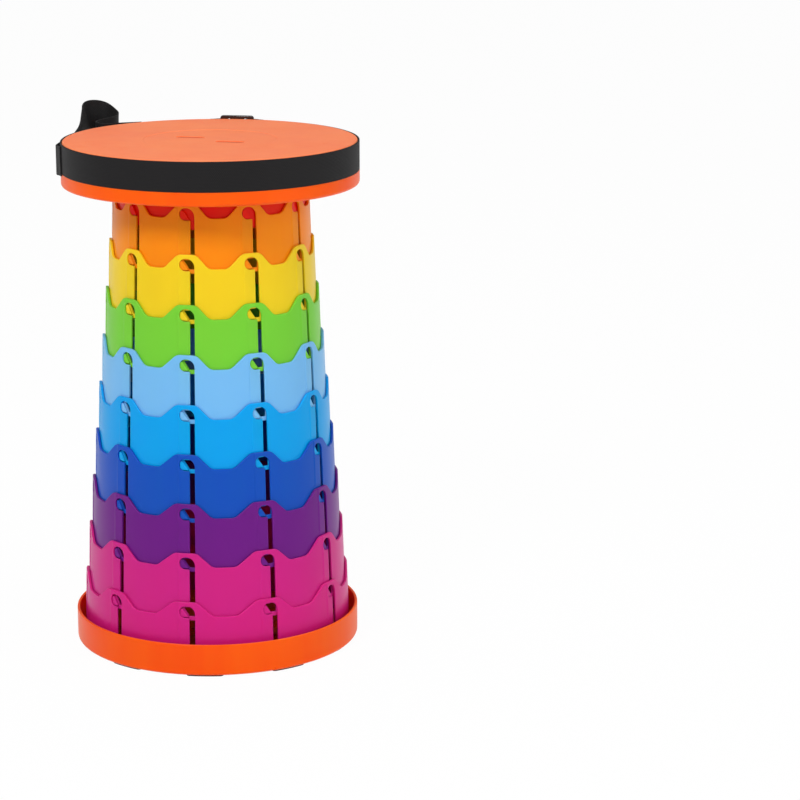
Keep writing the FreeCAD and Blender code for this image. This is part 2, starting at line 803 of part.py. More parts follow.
def build_collar():
    """The collar under the seat: the last wall of the tower, with lugs and screw sockets."""
    body = new_body("SeatCollar")
    length = f"({PAN_FOOT} - {collar_bottom()})"
    foot, top = collar_radius("0"), collar_radius(length)
    wall = s("ring_wall")
    revolve(
        body,
        "Collar",
        [(f"{foot} - {wall}", "0"), (foot, "0"), (top, length), (f"{top} - {wall}", length)],
    )
    sketch = sketch_on(
        body,
        "CollarLugOutline",
        "XZ_Plane",
        lug_outline(lug_foot(TIERS + 1)),
        turn=s("slot_turn"),
        out=f"({lug_face(TIERS + 1)} - {s('lug_out')} - {wall} / 2)",
    )
    lug = pad(body, "CollarLug", sketch, f"({wall} / 2 + {s('lug_out')})")
    around(body, "CollarLugs", [lug], SLOTS)
    screw_y = f"(-{s('seat_screw_circle')})"
    bore = f"({s('seat_post')} + 2 * {s('post_clear')})"
    outside = f"({bore} + 2 * {s('socket_wall')})"
    low = f"({length} - {s('socket_length')})"
    sketch = circle_on(body, "SocketOutline", "XY_Plane", "0", screw_y, outside, low)
    socket = pad(body, "Socket", sketch, s("socket_length"))
    around(body, "Sockets", [socket], SCREWS)
    web_top = f"({low} + {s('socket_web')})"
    sketch = circle_on(body, "SocketBoreOutline", "XY_Plane", "0", screw_y, bore, web_top)
    hole = pocket(body, "SocketBore", sketch, s("socket_length"), reverse=True)
    around(body, "SocketBores", [hole], SCREWS)
    shank = f"({s('seat_shank')} + {s('seat_shank_clear')})"
    sketch = circle_on(body, "SocketHoleOutline", "XY_Plane", "0", screw_y, shank, f"({low} - {BEYOND})")
    hole = pocket(body, "SocketHole", sketch, f"({s('socket_web')} + 2 * {BEYOND})", reverse=True)
    around(body, "SocketHoles", [hole], SCREWS)
    return keep(body, "seat_collar", z=collar_bottom())


BUCKLE_INNER = f"({s('seat_radius')} + {s('web_clear')})"


def build_buckle():
    """The slider: three upright bars between two rails, bent to the seat's round."""
    body = new_body("StrapBuckle")
    wide = f"(2 * {s('side_bar')} + 2 * {s('buckle_slot')} + {s('middle_bar')})"
    outer = f"({BUCKLE_INNER} + {s('buckle_thick')})"
    room = s("buckle_room")
    tall = f"({s('web_width')} + 2 * {room} + 2 * {s('buckle_rail')})"
    low = f"({s('strap_bottom')} - {room} - {s('buckle_rail')})"
    edge = s("buckle_edge")
    revolve(
        body,
        "Buckle",
        [
            (BUCKLE_INNER, low),
            (f"{outer} - {edge}", low, edge, False),
            (outer, f"{low} + {edge}"),
            (outer, f"{low} + {tall} - {edge}", edge, False),
            (f"{outer} - {edge}", f"{low} + {tall}"),
            (BUCKLE_INNER, f"{low} + {tall}"),
        ],
        degrees=f"({wide} / {outer} * 180 / pi)",
    )
    side = f"({s('middle_bar')} / 2)"
    far = f"({side} + {s('buckle_slot')})"
    foot = f"({s('strap_bottom')} - {room})"
    head = f"({foot} + {s('web_width')} + 2 * {room})"
    for name, way in (("Left", "-"), ("Right", "")):
        sketch = sketch_on(
            body,
            f"{name}SlotOutline",
            "YZ_Plane",
            [(f"{way}{side}", foot), (f"{way}{far}", foot), (f"{way}{far}", head), (f"{way}{side}", head)],
        )
        pocket(body, f"{name}Slot", sketch, f"({outer} + {BEYOND})", reverse=True)
    return keep(body, "strap_buckle", turn=s("buckle_turn"))


def polar(radius, degrees):
    """The point at a radius and an angle round the seat."""
    angle = math.radians(degrees)
    return Vector(radius * math.cos(angle), radius * math.sin(angle), 0)


def rim_arc(radius, start, end):
    """An arc round the seat's middle, anticlockwise from start to end in degrees."""
    middle = (start + end) / 2 if end > start else (start + end + 360) / 2
    return Part.Arc(polar(radius, start), polar(radius, middle), polar(radius, end)).toShape()


def turned_arc(centre, start, end, left):
    """An arc round a centre from one point to another, turning left or right."""
    from_angle = math.atan2(start.y - centre.y, start.x - centre.x)
    to_angle = math.atan2(end.y - centre.y, end.x - centre.x)
    if left and to_angle < from_angle:
        to_angle += 2 * math.pi
    if not left and to_angle > from_angle:
        to_angle -= 2 * math.pi
    radius = (start - centre).Length
    middle = centre + polar(radius, math.degrees((from_angle + to_angle) / 2))
    return Part.Arc(start, middle, end).toShape()


def strip_of(edge, thick):
    """The flat strip of a webbing's thickness that lies along one edge of a route."""
    start, end = edge.Vertexes[0].Point, edge.Vertexes[-1].Point
    if isinstance(edge.Curve, Part.Circle):
        centre, radius = edge.Curve.Center, edge.Curve.Radius
        middle = edge.valueAt((edge.FirstParameter + edge.LastParameter) / 2)
        sides = []
        for reach in ((radius + thick / 2) / radius, (radius - thick / 2) / radius):
            sides.append([centre + (point - centre) * reach for point in (start, middle, end)])
        runs = [Part.Arc(*side).toShape() for side in sides]
    else:
        along = (end - start).normalize()
        across = Vector(-along.y, along.x, 0) * (thick / 2)
        sides = [[start + across, end + across], [start - across, end - across]]
        runs = [Part.LineSegment(*side).toShape() for side in sides]
    caps = [Part.LineSegment(sides[0][i], sides[1][i]).toShape() for i in (0, -1)]
    return Part.Face(Part.Wire(Part.__sortEdges__(runs + caps)))


def webbing(edges, foot, width, thick):
    """A strip of webbing that stands on edge along a route seen from above."""
    runs = []
    for edge in edges:
        face = strip_of(edge, thick)
        face.translate(Vector(0, 0, foot))
        runs.append(face.extrude(Vector(0, 0, width)))
    return runs[0].multiFuse(runs[1:]).removeSplitter()


def feature(name, label, shape):
    """A piece whose shape is worked out here from the sheet's numbers."""
    thing = doc.addObject("Part::Feature", name)
    thing.Shape = shape
    thing.Placement = Placement()
    thing.Label = label
    parts.append(thing)
    return thing


def bar_turn(sign):
    """Degrees from the buckle's middle to the middle of a side bar."""
    away = number("middle_bar") / 2 + number("buckle_slot") + number("side_bar") / 2
    return sign * math.degrees(away / (number("seat_radius") + number("buckle_thick") / 2))


def build_band():
    """The webbing round the seat. Each end folds out round a side bar of the buckle."""
    thick = number("web_thick")
    inner = number("seat_radius") - thick / 2
    outer = inner + thick + number("buckle_thick") + 2 * number("web_clear")
    fold_radius = (outer - inner) / 2
    # The fold turns just past its bar, in the slot beside it
    past = number("side_bar") / 2 + number("web_clear")
    past = math.degrees(past / inner)
    length = math.degrees(number("fold_length") / inner)
    middle = number("buckle_turn")
    right = middle + bar_turn(1) - past
    left = middle + bar_turn(-1) + past
    centre = (inner + outer) / 2
    right_fold = Part.Arc(
        polar(outer, right), polar(centre, right) + polar(fold_radius, right - 90), polar(inner, right)
    ).toShape()
    left_fold = Part.Arc(
        polar(inner, left), polar(centre, left) + polar(fold_radius, left + 90), polar(outer, left)
    ).toShape()
    edges = [
        rim_arc(outer, right, right + length),
        right_fold,
        rim_arc(inner, right, right + 180),
        rim_arc(inner, right + 180, left + 360),
        left_fold,
        rim_arc(outer, left - length, left),
    ]
    shape = webbing(edges, number("strap_bottom"), number("web_width"), thick)
    return feature("StrapBand", "strap_band", shape.Solids[0])


def loop_route():
    """The carry loop seen from above, as edges in order from its sewn start."""
    radius = number("seat_radius") + number("web_clear") / 2 + number("web_thick") / 2
    leave, back = number("loop_leave"), number("loop_return")
    bow = Vector(-number("bow_left"), number("bow_back"), 0)
    bow_radius = number("bow_radius")
    first = polar(radius + number("leave_radius"), leave)
    last = polar(radius + number("return_radius"), back)

    def straight(start_centre, start_left, start_radius, end_centre, end_radius):
        """The straight run between a turn one way and a turn the other way."""
        gap = end_centre - start_centre
        cross = (start_radius + end_radius) / gap.Length
        heading = math.atan2(gap.y, gap.x) + (-1 if start_left else 1) * -math.asin(cross)
        side = Vector(-math.sin(heading), math.cos(heading), 0)
        if start_left:
            side = -side
        return start_centre + side * start_radius, end_centre - side * end_radius

    off_first, on_bow = straight(first, False, number("leave_radius"), bow, bow_radius)
    off_bow, on_last = straight(bow, True, bow_radius, last, number("return_radius"))
    bump_out = number("loop_bump_out")
    bump, end = number("loop_bump"), number("loop_end")
    top = polar(radius + bump_out, (bump + end) / 2)
    return [
        rim_arc(radius, number("loop_start"), leave),
        turned_arc(first, polar(radius, leave), off_first, False),
        Part.LineSegment(off_first, on_bow).toShape(),
        turned_arc(bow, on_bow, off_bow, True),
        Part.LineSegment(off_bow, on_last).toShape(),
        turned_arc(last, on_last, polar(radius, back), False),
        rim_arc(radius, back, bump),
        Part.Arc(polar(radius, bump), top, polar(radius, end)).toShape(),
    ]


def build_loop():
    """The carry loop: its bow rises as it goes out from the seat."""
    edges = loop_route()
    foot, width = number("strap_bottom"), number("web_width")
    start, slope = number("rise_from"), number("rise_slope")
    # A slab larger than the seat, cut to the webbing's upper and lower edges
    reach = 2 * number("seat_radius")
    run = reach - start
    rise = run * slope
    prism = webbing(edges, foot - 1, width + rise + 2, number("web_thick"))
    side = [
        Vector(-reach, 0, foot),
        Vector(start, 0, foot),
        Vector(reach, 0, foot + rise),
        Vector(reach, 0, foot + rise + width),
        Vector(start, 0, foot + width),
        Vector(-reach, 0, foot + width),
        Vector(-reach, 0, foot),
    ]
    slab = Part.Face(Part.makePolygon(side)).extrude(Vector(0, 2 * reach, 0))
    slab.translate(Vector(0, -reach, 0))
    slab.rotate(Vector(), Vector(0, 0, 1), number("rise_turn"))
    shape = prism.common(slab).removeSplitter()
    print("carry loop length", round(sum(e.Length for e in edges), 1))
    return feature("CarryLoop", "carry_loop", shape.Solids[0])


def build_stitches():
    """Two short rows of thread where each end of the carry loop is sewn on."""
    outside = number("seat_radius") + number("web_clear") / 2 + number("web_thick")
    long, wide = number("stitch_length"), number("stitch_width")
    foot = number("strap_bottom") + (number("web_width") - 2 * long - number("stitch_gap")) / 2
    rows = []
    for turn in (number("stitch_leave"), number("stitch_return")):
        for count in range(2):
            z = foot + count * (long + number("stitch_gap"))
            row = Part.makeBox(number("stitch_thick"), wide, long, Vector(outside, -wide / 2, z))
            row.rotate(Vector(), Vector(0, 0, 1), turn)
            rows.append(row)
    return feature("StrapStitches", "strap_stitches", Part.makeCompound(rows))


build_base()
build_feet()
for tier in range(1, TIERS + 1):
    build_ring(tier)
build_collar()
build_pan()
build_cover()
build_buckle()
below_posts = f"({FLOOR_TOP} + {s('base_post_height')} - {s('foot_thick')} - {s('base_head_thick')})"
screw_set(
    "BaseScrew",
    "base_screws",
    s("base_screw_circle"),
    s("base_screw_turn"),
    s("base_shank"),
    f"({below_posts} + {s('base_shank_length')})",
    s("base_head"),
    s("base_head_thick"),
    s("foot_thick"),
)
screw_set(
    "SeatScrew",
    "seat_screws",
    s("seat_screw_circle"),
    "0",
    s("seat_shank"),
    s("seat_shank_length"),
    s("seat_head"),
    s("seat_head_thick"),
    f"({PAN_FOOT} - {s('socket_length')} - {s('seat_head_thick')})",
)
build_band()
build_loop()
build_stitches()
doc.recompute()

faults = []
for thing in doc.Objects:
    if "Invalid" in thing.State or "Error" in thing.State:
        faults.append(f"{thing.Name}: {thing.State}")
for thing in parts:
    if thing.Shape.isNull() or not thing.Shape.isValid() or thing.Shape.Volume <= 0:
        faults.append(f"{thing.Label}: bad shape")
if faults:
    raise RuntimeError("; ".join(faults))

os.makedirs("parts", exist_ok=True)
for thing in parts:
    thing.Shape.exportStep(f"parts/{thing.Label}.step")
    box = thing.Shape.BoundBox
    heights = round(box.ZMin, 2), round(box.ZMax, 2)
    print(thing.Label, len(thing.Shape.Solids), round(thing.Shape.Volume), *heights)
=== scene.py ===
"""Collapsible telescopic stool: the looks of every piece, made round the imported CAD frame.

Units are metres. Z is up, the front is towards -Y, and the origin is on the ground under
the middle of the dish. Angles round the stool are counted anticlockwise from +X.
"""

import logging
import math
from collections.abc import Callable, Iterable, Sequence
from dataclasses import dataclass, field
from enum import Enum

import bmesh
import bpy
from mathutils import Euler, Matrix, Vector
from mathutils.geometry import tessellate_polygon


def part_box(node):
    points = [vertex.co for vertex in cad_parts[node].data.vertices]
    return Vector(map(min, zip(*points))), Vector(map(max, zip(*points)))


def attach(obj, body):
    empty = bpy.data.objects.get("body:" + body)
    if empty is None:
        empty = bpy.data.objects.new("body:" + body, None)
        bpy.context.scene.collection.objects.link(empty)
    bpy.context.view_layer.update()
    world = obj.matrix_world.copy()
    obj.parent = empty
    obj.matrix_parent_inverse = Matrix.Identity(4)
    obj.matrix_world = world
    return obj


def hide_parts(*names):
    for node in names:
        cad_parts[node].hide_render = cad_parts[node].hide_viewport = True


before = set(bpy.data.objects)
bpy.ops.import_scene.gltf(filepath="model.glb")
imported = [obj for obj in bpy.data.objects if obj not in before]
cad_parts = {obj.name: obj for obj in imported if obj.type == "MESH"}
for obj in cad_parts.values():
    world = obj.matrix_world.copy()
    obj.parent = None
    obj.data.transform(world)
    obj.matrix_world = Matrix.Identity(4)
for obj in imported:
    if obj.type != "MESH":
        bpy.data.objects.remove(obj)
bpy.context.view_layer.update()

MM = 0.001
FRONT = 270.0
TOUCH = 1e-7  # points nearer than this are one in a cut
SAME = 1e-6  # points nearer than this are one in a finished mesh
WELD = 0.01 * MM  # copies of a pattern join where they are nearer than this
STRAIGHT = 0.01 * MM  # what a full round end keeps of its straight side

log = logging.getLogger("stool")

Point = tuple[float, float]
Corner = tuple[float, float, float]
Colour = tuple[int, int, int]
Loop = Sequence[bmesh.types.BMVert]


class Body(Enum):
    """The CAD bodies that this file names."""

    BASE = "base"
    SEAT = "seat"


class Side(Enum):
    """Left or right of the middle, seen from the front."""

    LEFT = -1
    RIGHT = 1


def linear(colour: Colour) -> tuple[float, float, float, float]:
    """A screen colour as the linear colour that shaders take.

    Args:
        colour: Red, green and blue from 0 to 255, as they look on a screen.

    Returns:
        The linear red, green and blue, and an alpha of 1.
    """
    channels = [value / 255 for value in colour]
    return (*[c / 12.92 if c <= 0.04045 else ((c + 0.055) / 1.055) ** 2.4 for c in channels], 1.0)


def polar(radius: float, degrees: float, height: float = 0.0) -> Vector:
    """The point at a radius and an angle round the stool."""
    angle = math.radians(degrees)
    return Vector((radius * math.cos(angle), radius * math.sin(angle), height))


def smooth(value: float) -> float:
    """A soft step from 0 to 1 for a value from 0 to 1."""
    value = min(max(value, 0.0), 1.0)
    return value * value * (3 - 2 * value)


# Outlines and plates


def rounded_outline(corners: Sequence[Corner], step: float = math.radians(11)) -> list[Point]:
    """A closed outline whose corners are rounded.

    Args:
        corners: Each corner's x and y and the radius that rounds it.
        step: The angle that each piece of a round takes.

    Returns:
        The outline's points in order.
    """
    outline: list[Point] = []
    for i, (x, y, radius) in enumerate(corners):
        here = Vector((x, y))
        if radius <= 0:
            outline.append((x, y))
            continue
        before = (Vector(corners[i - 1][:2]) - here).normalized()
        after = (Vector(corners[(i + 1) % len(corners)][:2]) - here).normalized()
        half = before.angle(after) / 2
        centre = here + (before + after).normalized() * (radius / math.sin(half))
        start = here + before * (radius / math.tan(half)) - centre
        end = here + after * (radius / math.tan(half)) - centre
        first = math.atan2(start.y, start.x)
        sweep = (math.atan2(end.y, end.x) - first + math.pi) % math.tau - math.pi
        pieces = max(2, math.ceil(abs(sweep) / step))
        for piece in range(pieces + 1):
            angle = first + sweep * piece / pieces
            outline.append((centre.x + radius * math.cos(angle), centre.y + radius * math.sin(angle)))
    return outline


def rounded_box(
    half_length: float, half_width: float, corner: float, middle: float = 0.0, step: float = math.radians(11)
) -> list[Point]:
    """The outline of a rectangle with rounded corners.

    Args:
        half_length: Half its length along X.
        half_width: Half its width along Y.
        corner: The radius that rounds its corners.
        middle: Where its middle lies along X.
        step: The angle that each piece of a round takes.

    Returns:
        The outline's points in order.
    """
    ways = ((-1, -1), (1, -1), (1, 1), (-1, 1))
    corners = [(middle + x * half_length, y * half_width, corner) for x, y in ways]
    return rounded_outline(corners, step)


def edge_levels(edge: float, steps: int) -> list[Point]:
    """How far in and how far down each point of a rounded edge lies, from the face to the side."""
    turns = [math.pi / 2 * k / steps for k in range(steps + 1)]
    return [(edge * (1 - math.sin(a)), edge * (1 - math.cos(a))) for a in turns]


def turned_way(outline: Sequence[Point], anticlockwise: bool) -> list[Point]:
    """The outline in the order that runs anticlockwise, or clockwise."""
    area = sum(a[0] * b[1] - b[0] * a[1] for a, b in zip(outline, [*outline[1:], outline[0]]))
    return list(outline) if (area > 0) == anticlockwise else list(reversed(outline))


def inset(outline: Sequence[Point], distance: float) -> list[Point]:
    """The outline moved to the left of its own way by a distance, its corners mitred."""
    moved: list[Point] = []
    for i, point in enumerate(outline):
        here = Vector(point)
        before = (here - Vector(outline[i - 1])).normalized()
        after = (Vector(outline[(i + 1) % len(outline)]) - here).normalized()
        left_before = Vector((-before.y, before.x))
        left_after = Vector((-after.y, after.x))
        place = here + (left_before + left_after) * (distance / (1 + left_before.dot(left_after)))
        moved.append((place.x, place.y))
    return moved


def fill(mesh: bmesh.types.BMesh, loops: Sequence[Loop]) -> None:
    """Close an outline and the holes in it with flat faces."""
    corners = [vert for loop in loops for vert in loop]
    for face in tessellate_polygon([[vert.co for vert in loop] for loop in loops]):
        mesh.faces.new([corners[i] for i in face])


def bridge(mesh: bmesh.types.BMesh, low: Loop, high: Loop) -> None:
    """Join two closed loops of as many points with a band of faces."""
    for i in range(len(low)):
        after = (i + 1) % len(low)
        mesh.faces.new((low[i], low[after], high[after], high[i]))


def rounded_plate(
    outlines: Sequence[Sequence[Point]], thickness: float, edge: float, steps: int = 3
) -> bmesh.types.BMesh:
    """A plate with rounded edges. Its outer face lies at z = 0 and its inner face at z = thickness.

    Args:
        outlines: The plate's outline, and then the holes in it.
        thickness: How thick the plate is.
        edge: The radius that rounds every edge.
        steps: How many faces each rounded edge has.

    Returns:
        The plate as a closed mesh.
    """
    mesh = bmesh.new()
    levels = edge_levels(edge, steps)
    levels += [(drawn_in, thickness - depth) for drawn_in, depth in reversed(levels)]
    outer: list[Loop] = []
    inner: list[Loop] = []
    for number, outline in enumerate(outlines):
        way = turned_way(outline, anticlockwise=number == 0)
        loops = [[mesh.verts.new((*p, depth)) for p in inset(way, drawn_in)] for drawn_in, depth in levels]
        for low, high in zip(loops, loops[1:]):
            bridge(mesh, low, high)
        outer.append(loops[0])
        inner.append(loops[-1])
    fill(mesh, outer)
    fill(mesh, inner)
    bmesh.ops.recalc_face_normals(mesh, faces=mesh.faces[:])
    return mesh


def cut(mesh: bmesh.types.BMesh, places: Iterable[float], axis: int = 0) -> None:
    """Cut the faces of a mesh across an axis at each place, without parting them."""
    for place in places:
        point, normal = Vector(), Vector()
        point[axis], normal[axis] = place, 1
        everything = mesh.verts[:] + mesh.edges[:] + mesh.faces[:]
        bmesh.ops.bisect_plane(mesh, geom=everything, plane_co=point, plane_no=normal, dist=TOUCH)


def keep_between(mesh: bmesh.types.BMesh, low: float, high: float) -> None:
    """Take away what lies outside two places along X, and leave both ends open."""
    for place, outside in ((low, {"clear_inner": True}), (high, {"clear_outer": True})):
        everything = mesh.verts[:] + mesh.edges[:] + mesh.faces[:]
        bmesh.ops.bisect_plane(
            mesh, geom=everything, plane_co=(place, 0, 0), plane_no=(1, 0, 0), dist=TOUCH, **outside
        )


def merge_faces(mesh: bmesh.types.BMesh, thickness: float) -> None:
    """Join the triangles of a plate's two flat faces into one face between two upright cuts."""

    def flat(face: bmesh.types.BMFace) -> bool:
        """Whether a face lies in one of the two flat sides."""
        depths = {round(vert.co.z, 7) for vert in face.verts}
        return len(depths) == 1 and depths.pop() in (0, round(thickness, 7))

    edges = [
        edge
        for edge in mesh.edges
        if len(edge.link_faces) == 2
        and all(flat(face) for face in edge.link_faces)
        and abs(edge.verts[0].co.x - edge.verts[1].co.x) > SAME
    ]
    bmesh.ops.dissolve_edges(mesh, edges=edges, use_verts=True)


def shape(mesh: bmesh.types.BMesh, place: Callable[[Vector], Vector]) -> bmesh.types.BMesh:
    """Move every point of a mesh to where a function puts it."""
    for vert in mesh.verts:
        vert.co = place(vert.co)
    return mesh


def lathe(profile: Sequence[Point], segments: int = 180) -> bmesh.types.BMesh:
    """A shell turned about Z.

    Args:
        profile: Radius and height of each point. A radius of 0 makes a closed pole.
        segments: How many faces go round.

    Returns:
        The shell, open at an end whose radius isn't 0.
    """
    mesh = bmesh.new()
    before: Loop = []
    for radius, height in profile:
        if radius == 0:
            now = [mesh.verts.new((0, 0, height))]
        else:
            now = [mesh.verts.new(polar(radius, 360 * i / segments, height)) for i in range(segments)]
        if len(before) == len(now):
            bridge(mesh, before, now)
        elif before:
            pole, loop = (before, now) if len(before) == 1 else (now, before)
            for i in range(segments):
                mesh.faces.new((pole[0], loop[i], loop[(i + 1) % segments]))
        before = now
    return mesh


def closed_lathe(corners: Sequence[Corner], segments: int = 180) -> bmesh.types.BMesh:
    """A solid turned about Z from a closed outline of radius, height and rounding."""
    mesh = bmesh.new()
    outline = rounded_outline(corners)
    loops = [[mesh.verts.new(polar(r, 360 * i / segments, z)) for i in range(segments)] for r, z in outline]
    for low, high in zip(loops, [*loops[1:], loops[0]]):
        bridge(mesh, low, high)
    return mesh


def joined(meshes: Iterable[bmesh.types.BMesh]) -> bmesh.types.BMesh:
    """Several meshes as one."""
    whole = bmesh.new()
    for mesh in meshes:
        carrier = bpy.data.meshes.new("carrier")
        mesh.to_mesh(carrier)
        mesh.free()
        whole.from_mesh(carrier)
        bpy.data.meshes.remove(carrier)
    return whole


# Objects


def new_object(name: str, mesh: bmesh.types.BMesh, closed: bool = True) -> bpy.types.Object:
    """An object at the origin that holds a finished mesh.

    Args:
        name: The piece's name.
        mesh: Its shape, which is used up.
        closed: Whether its faces can be turned to point outwards already.

    Returns:
        The object, linked into the scene.
    """
    bmesh.ops.remove_doubles(mesh, verts=mesh.verts[:], dist=SAME)
    if closed:
        bmesh.ops.recalc_face_normals(mesh, faces=mesh.faces[:])
    data = bpy.data.meshes.new(name)
    mesh.to_mesh(data)
    mesh.free()
    thing = bpy.data.objects.new(name, data)
    bpy.context.scene.collection.objects.link(thing)
    return thing


def settle(thing: bpy.types.Object) -> bpy.types.Object:
    """Turn an object with modifiers into the plain mesh that they make."""
    depsgraph = bpy.context.evaluated_depsgraph_get()
    made = bpy.data.meshes.new_from_object(
        thing.evaluated_get(depsgraph), preserve_all_data_layers=True, depsgraph=depsgraph
    )
    thing.modifiers.clear()
    thing.data = made
    made.name = thing.name
    return thing


def soften(thing: bpy.types.Object, sharp: float = 40.0) -> bpy.types.Object:
    """Shade a piece smooth, with its large faces flat and its edges round.

    Args:
        thing: The piece.
        sharp: The angle in degrees from which an edge stays sharp.

    Returns:
        The same piece, with its normals worked out.
    """
    data = thing.data
    data.polygons.foreach_set("use_smooth", [True] * len(data.polygons))
    data.set_sharp_from_angle(angle=math.radians(sharp))
    weighted = thing.modifiers.new("Weighted", "WEIGHTED_NORMAL")
    weighted.mode = "FACE_AREA_WITH_ANGLE"
    weighted.keep_sharp = True
    return settle(thing)


# Geometry Nodes


class Tree:
    """Adds nodes and links to a node tree."""

    def __init__(self, tree: bpy.types.NodeTree) -> None:
        """Work on this tree."""
        self.tree = tree

    def add(
        self, kind: str, inputs: dict[str | int, object] | None = None, **settings: object
    ) -> bpy.types.Node:
        """Add a node.

        Args:
            kind: The node's type.
            inputs: For an input's name or number, its value or the output that feeds it.
            settings: The node's own settings.

        Returns:
            The node.
        """
        node = self.tree.nodes.new(kind)
        for name, value in settings.items():
            setattr(node, name, value)
        for name, value in (inputs or {}).items():
            socket = node.inputs[name]
            if isinstance(value, bpy.types.NodeSocket):
                self.tree.links.new(value, socket)
            else:
                socket.default_value = value
        return node

    def maths(self, operation: str, *values: object) -> bpy.types.NodeSocket:
        """The output of a Math node on up to three values."""
        node = self.add("ShaderNodeMath", dict(enumerate(values)), operation=operation)
        return node.outputs[0]

    def socket(self, way: str, name: str, kind: str, default: object = None) -> str:
        """Give the tree an input or an output, and return its identifier."""
        item = self.tree.interface.new_socket(name, in_out=way, socket_type=f"NodeSocket{kind}")
        if default is not None:
            item.default_value = default
        return item.identifier


class Pattern:
    """A Geometry Nodes tree and the identifiers of its inputs."""

    def __init__(self, name: str, inputs: dict[str, str]) -> None:
        """Make a tree that takes and gives a geometry, with these further inputs.

        Args:
            name: The tree's name.
            inputs: Each further input's name and its kind of socket.
        """
        group = bpy.data.node_groups.new(name, "GeometryNodeTree")
        group.is_modifier = True
        self.tree = Tree(group)
        self.tree.socket("INPUT", "Geometry", "Geometry")
        self.tree.socket("OUTPUT", "Geometry", "Geometry")
        self.names = {word: self.tree.socket("INPUT", word, kind) for word, kind in inputs.items()}
        self.given = self.tree.add("NodeGroupInput").outputs
        self.lay_out()

    def lay_out(self) -> None:
        """Add the tree's nodes. Each pattern does this its own way."""
        raise NotImplementedError

    def finish(self, instances: bpy.types.NodeSocket) -> None:
        """End the tree: real geometry, welded where copies meet, with its material."""
        real = self.tree.add("GeometryNodeRealizeInstances", {"Geometry": instances})
        welded = self.tree.add(
            "GeometryNodeMergeByDistance", {"Geometry": real.outputs[0], "Distance": self.given["Weld"]}
        )
        painted = self.tree.add(
            "GeometryNodeSetMaterial", {"Geometry": welded.outputs[0], "Material": self.given["Finish"]}
        )
        self.tree.add("NodeGroupOutput", {"Geometry": painted.outputs[0]})

    def apply(self, thing: bpy.types.Object, **values: object) -> bpy.types.Object:
        """Run the tree on an object and keep the plain mesh that it makes.

        Args:
            thing: The object that holds the shape to repeat.
            values: A value for each input.

        Returns:
            The same object, with the whole pattern in its mesh.
        """
        modifier = thing.modifiers.new(self.tree.tree.name, "NODES")
        modifier.node_group = self.tree.tree
        for word, value in values.items():
            modifier[self.names[word]] = value
        return settle(thing)


class RoundPattern(Pattern):
    """Repeats a shape round the Z axis."""

    def __init__(self) -> None:
        """Make the tree."""
        inputs = {"Count": "Int", "Step": "Float", "Weld": "Float", "Finish": "Material"}
        super().__init__("RoundPattern", inputs)

    def lay_out(self) -> None:
        """One point for each copy, each copy turned by its number times the step."""
        index = self.tree.add("GeometryNodeInputIndex").outputs[0]
        turn = self.tree.maths("MULTIPLY", index, self.given["Step"])
        angles = self.tree.add("ShaderNodeCombineXYZ", {"Z": turn}).outputs[0]
        rotation = self.tree.add("FunctionNodeEulerToRotation", {0: angles}).outputs[0]
        points = self.tree.add("GeometryNodePoints", {"Count": self.given["Count"]}).outputs[0]
        copies = self.tree.add(
            "GeometryNodeInstanceOnPoints",
            {"Points": points, "Instance": self.given["Geometry"], "Rotation": rotation},
        )
        self.finish(copies.outputs[0])


class BarTack(Pattern):
    """Lays threads across a row, each leaning the other way from the one before."""

    def __init__(self) -> None:
        """Make the tree."""
        inputs = {"Count": "Int", "Pitch": "Float", "Lean": "Float", "Weld": "Float", "Finish": "Material"}
        super().__init__("BarTack", inputs)

    def lay_out(self) -> None:
        """A line of points up Z, a thread on each, leaning by turns."""
        step = self.tree.add("ShaderNodeCombineXYZ", {"Z": self.given["Pitch"]}).outputs[0]
        given = {"Count": self.given["Count"], "Offset": step}
        line = self.tree.add("GeometryNodeMeshLine", given).outputs[0]
        index = self.tree.add("GeometryNodeInputIndex").outputs[0]
        odd = self.tree.maths("MODULO", index, 2.0)
        way = self.tree.maths("MULTIPLY_ADD", odd, 2.0, -1.0)
        lean = self.tree.maths("MULTIPLY", way, self.given["Lean"])
        angles = self.tree.add("ShaderNodeCombineXYZ", {"X": lean}).outputs[0]
        rotation = self.tree.add("FunctionNodeEulerToRotation", {0: angles}).outputs[0]
        copies = self.tree.add(
            "GeometryNodeInstanceOnPoints",
            {"Points": line, "Instance": self.given["Geometry"], "Rotation": rotation},
        )
        self.finish(copies.outputs[0])


# Shader node groups


class Effect:
    """A shader node group that several materials use."""

    name = "Effect"
    inputs: dict[str, tuple[str, object]] = {}
    outputs: dict[str, str] = {}

    def __init__(self) -> None:
        """Build the group once."""
        self.group = bpy.data.node_groups.new(self.name, "ShaderNodeTree")
        self.tree = Tree(self.group)
        for word, (kind, default) in self.inputs.items():
            self.tree.socket("INPUT", word, kind, default)
        for word, kind in self.outputs.items():
            self.tree.socket("OUTPUT", word, kind)
        self.given = self.tree.add("NodeGroupInput").outputs
        self.tree.add("NodeGroupOutput", self.lay_out())

    def lay_out(self) -> dict[str, bpy.types.NodeSocket]:
        """Add the group's nodes and return what feeds each output."""
        raise NotImplementedError

    def use(self, tree: Tree, **values: object) -> bpy.types.NodeOutputs:
        """Place the group in a material.

        Args:
            tree: The material's tree.
            values: A value or a feeding output for each input, its spaces written as underscores.

        Returns:
            The outputs of the placed group.
        """
        node = tree.add("ShaderNodeGroup", node_tree=self.group)
        feed(tree, node, **values)
        return node.outputs


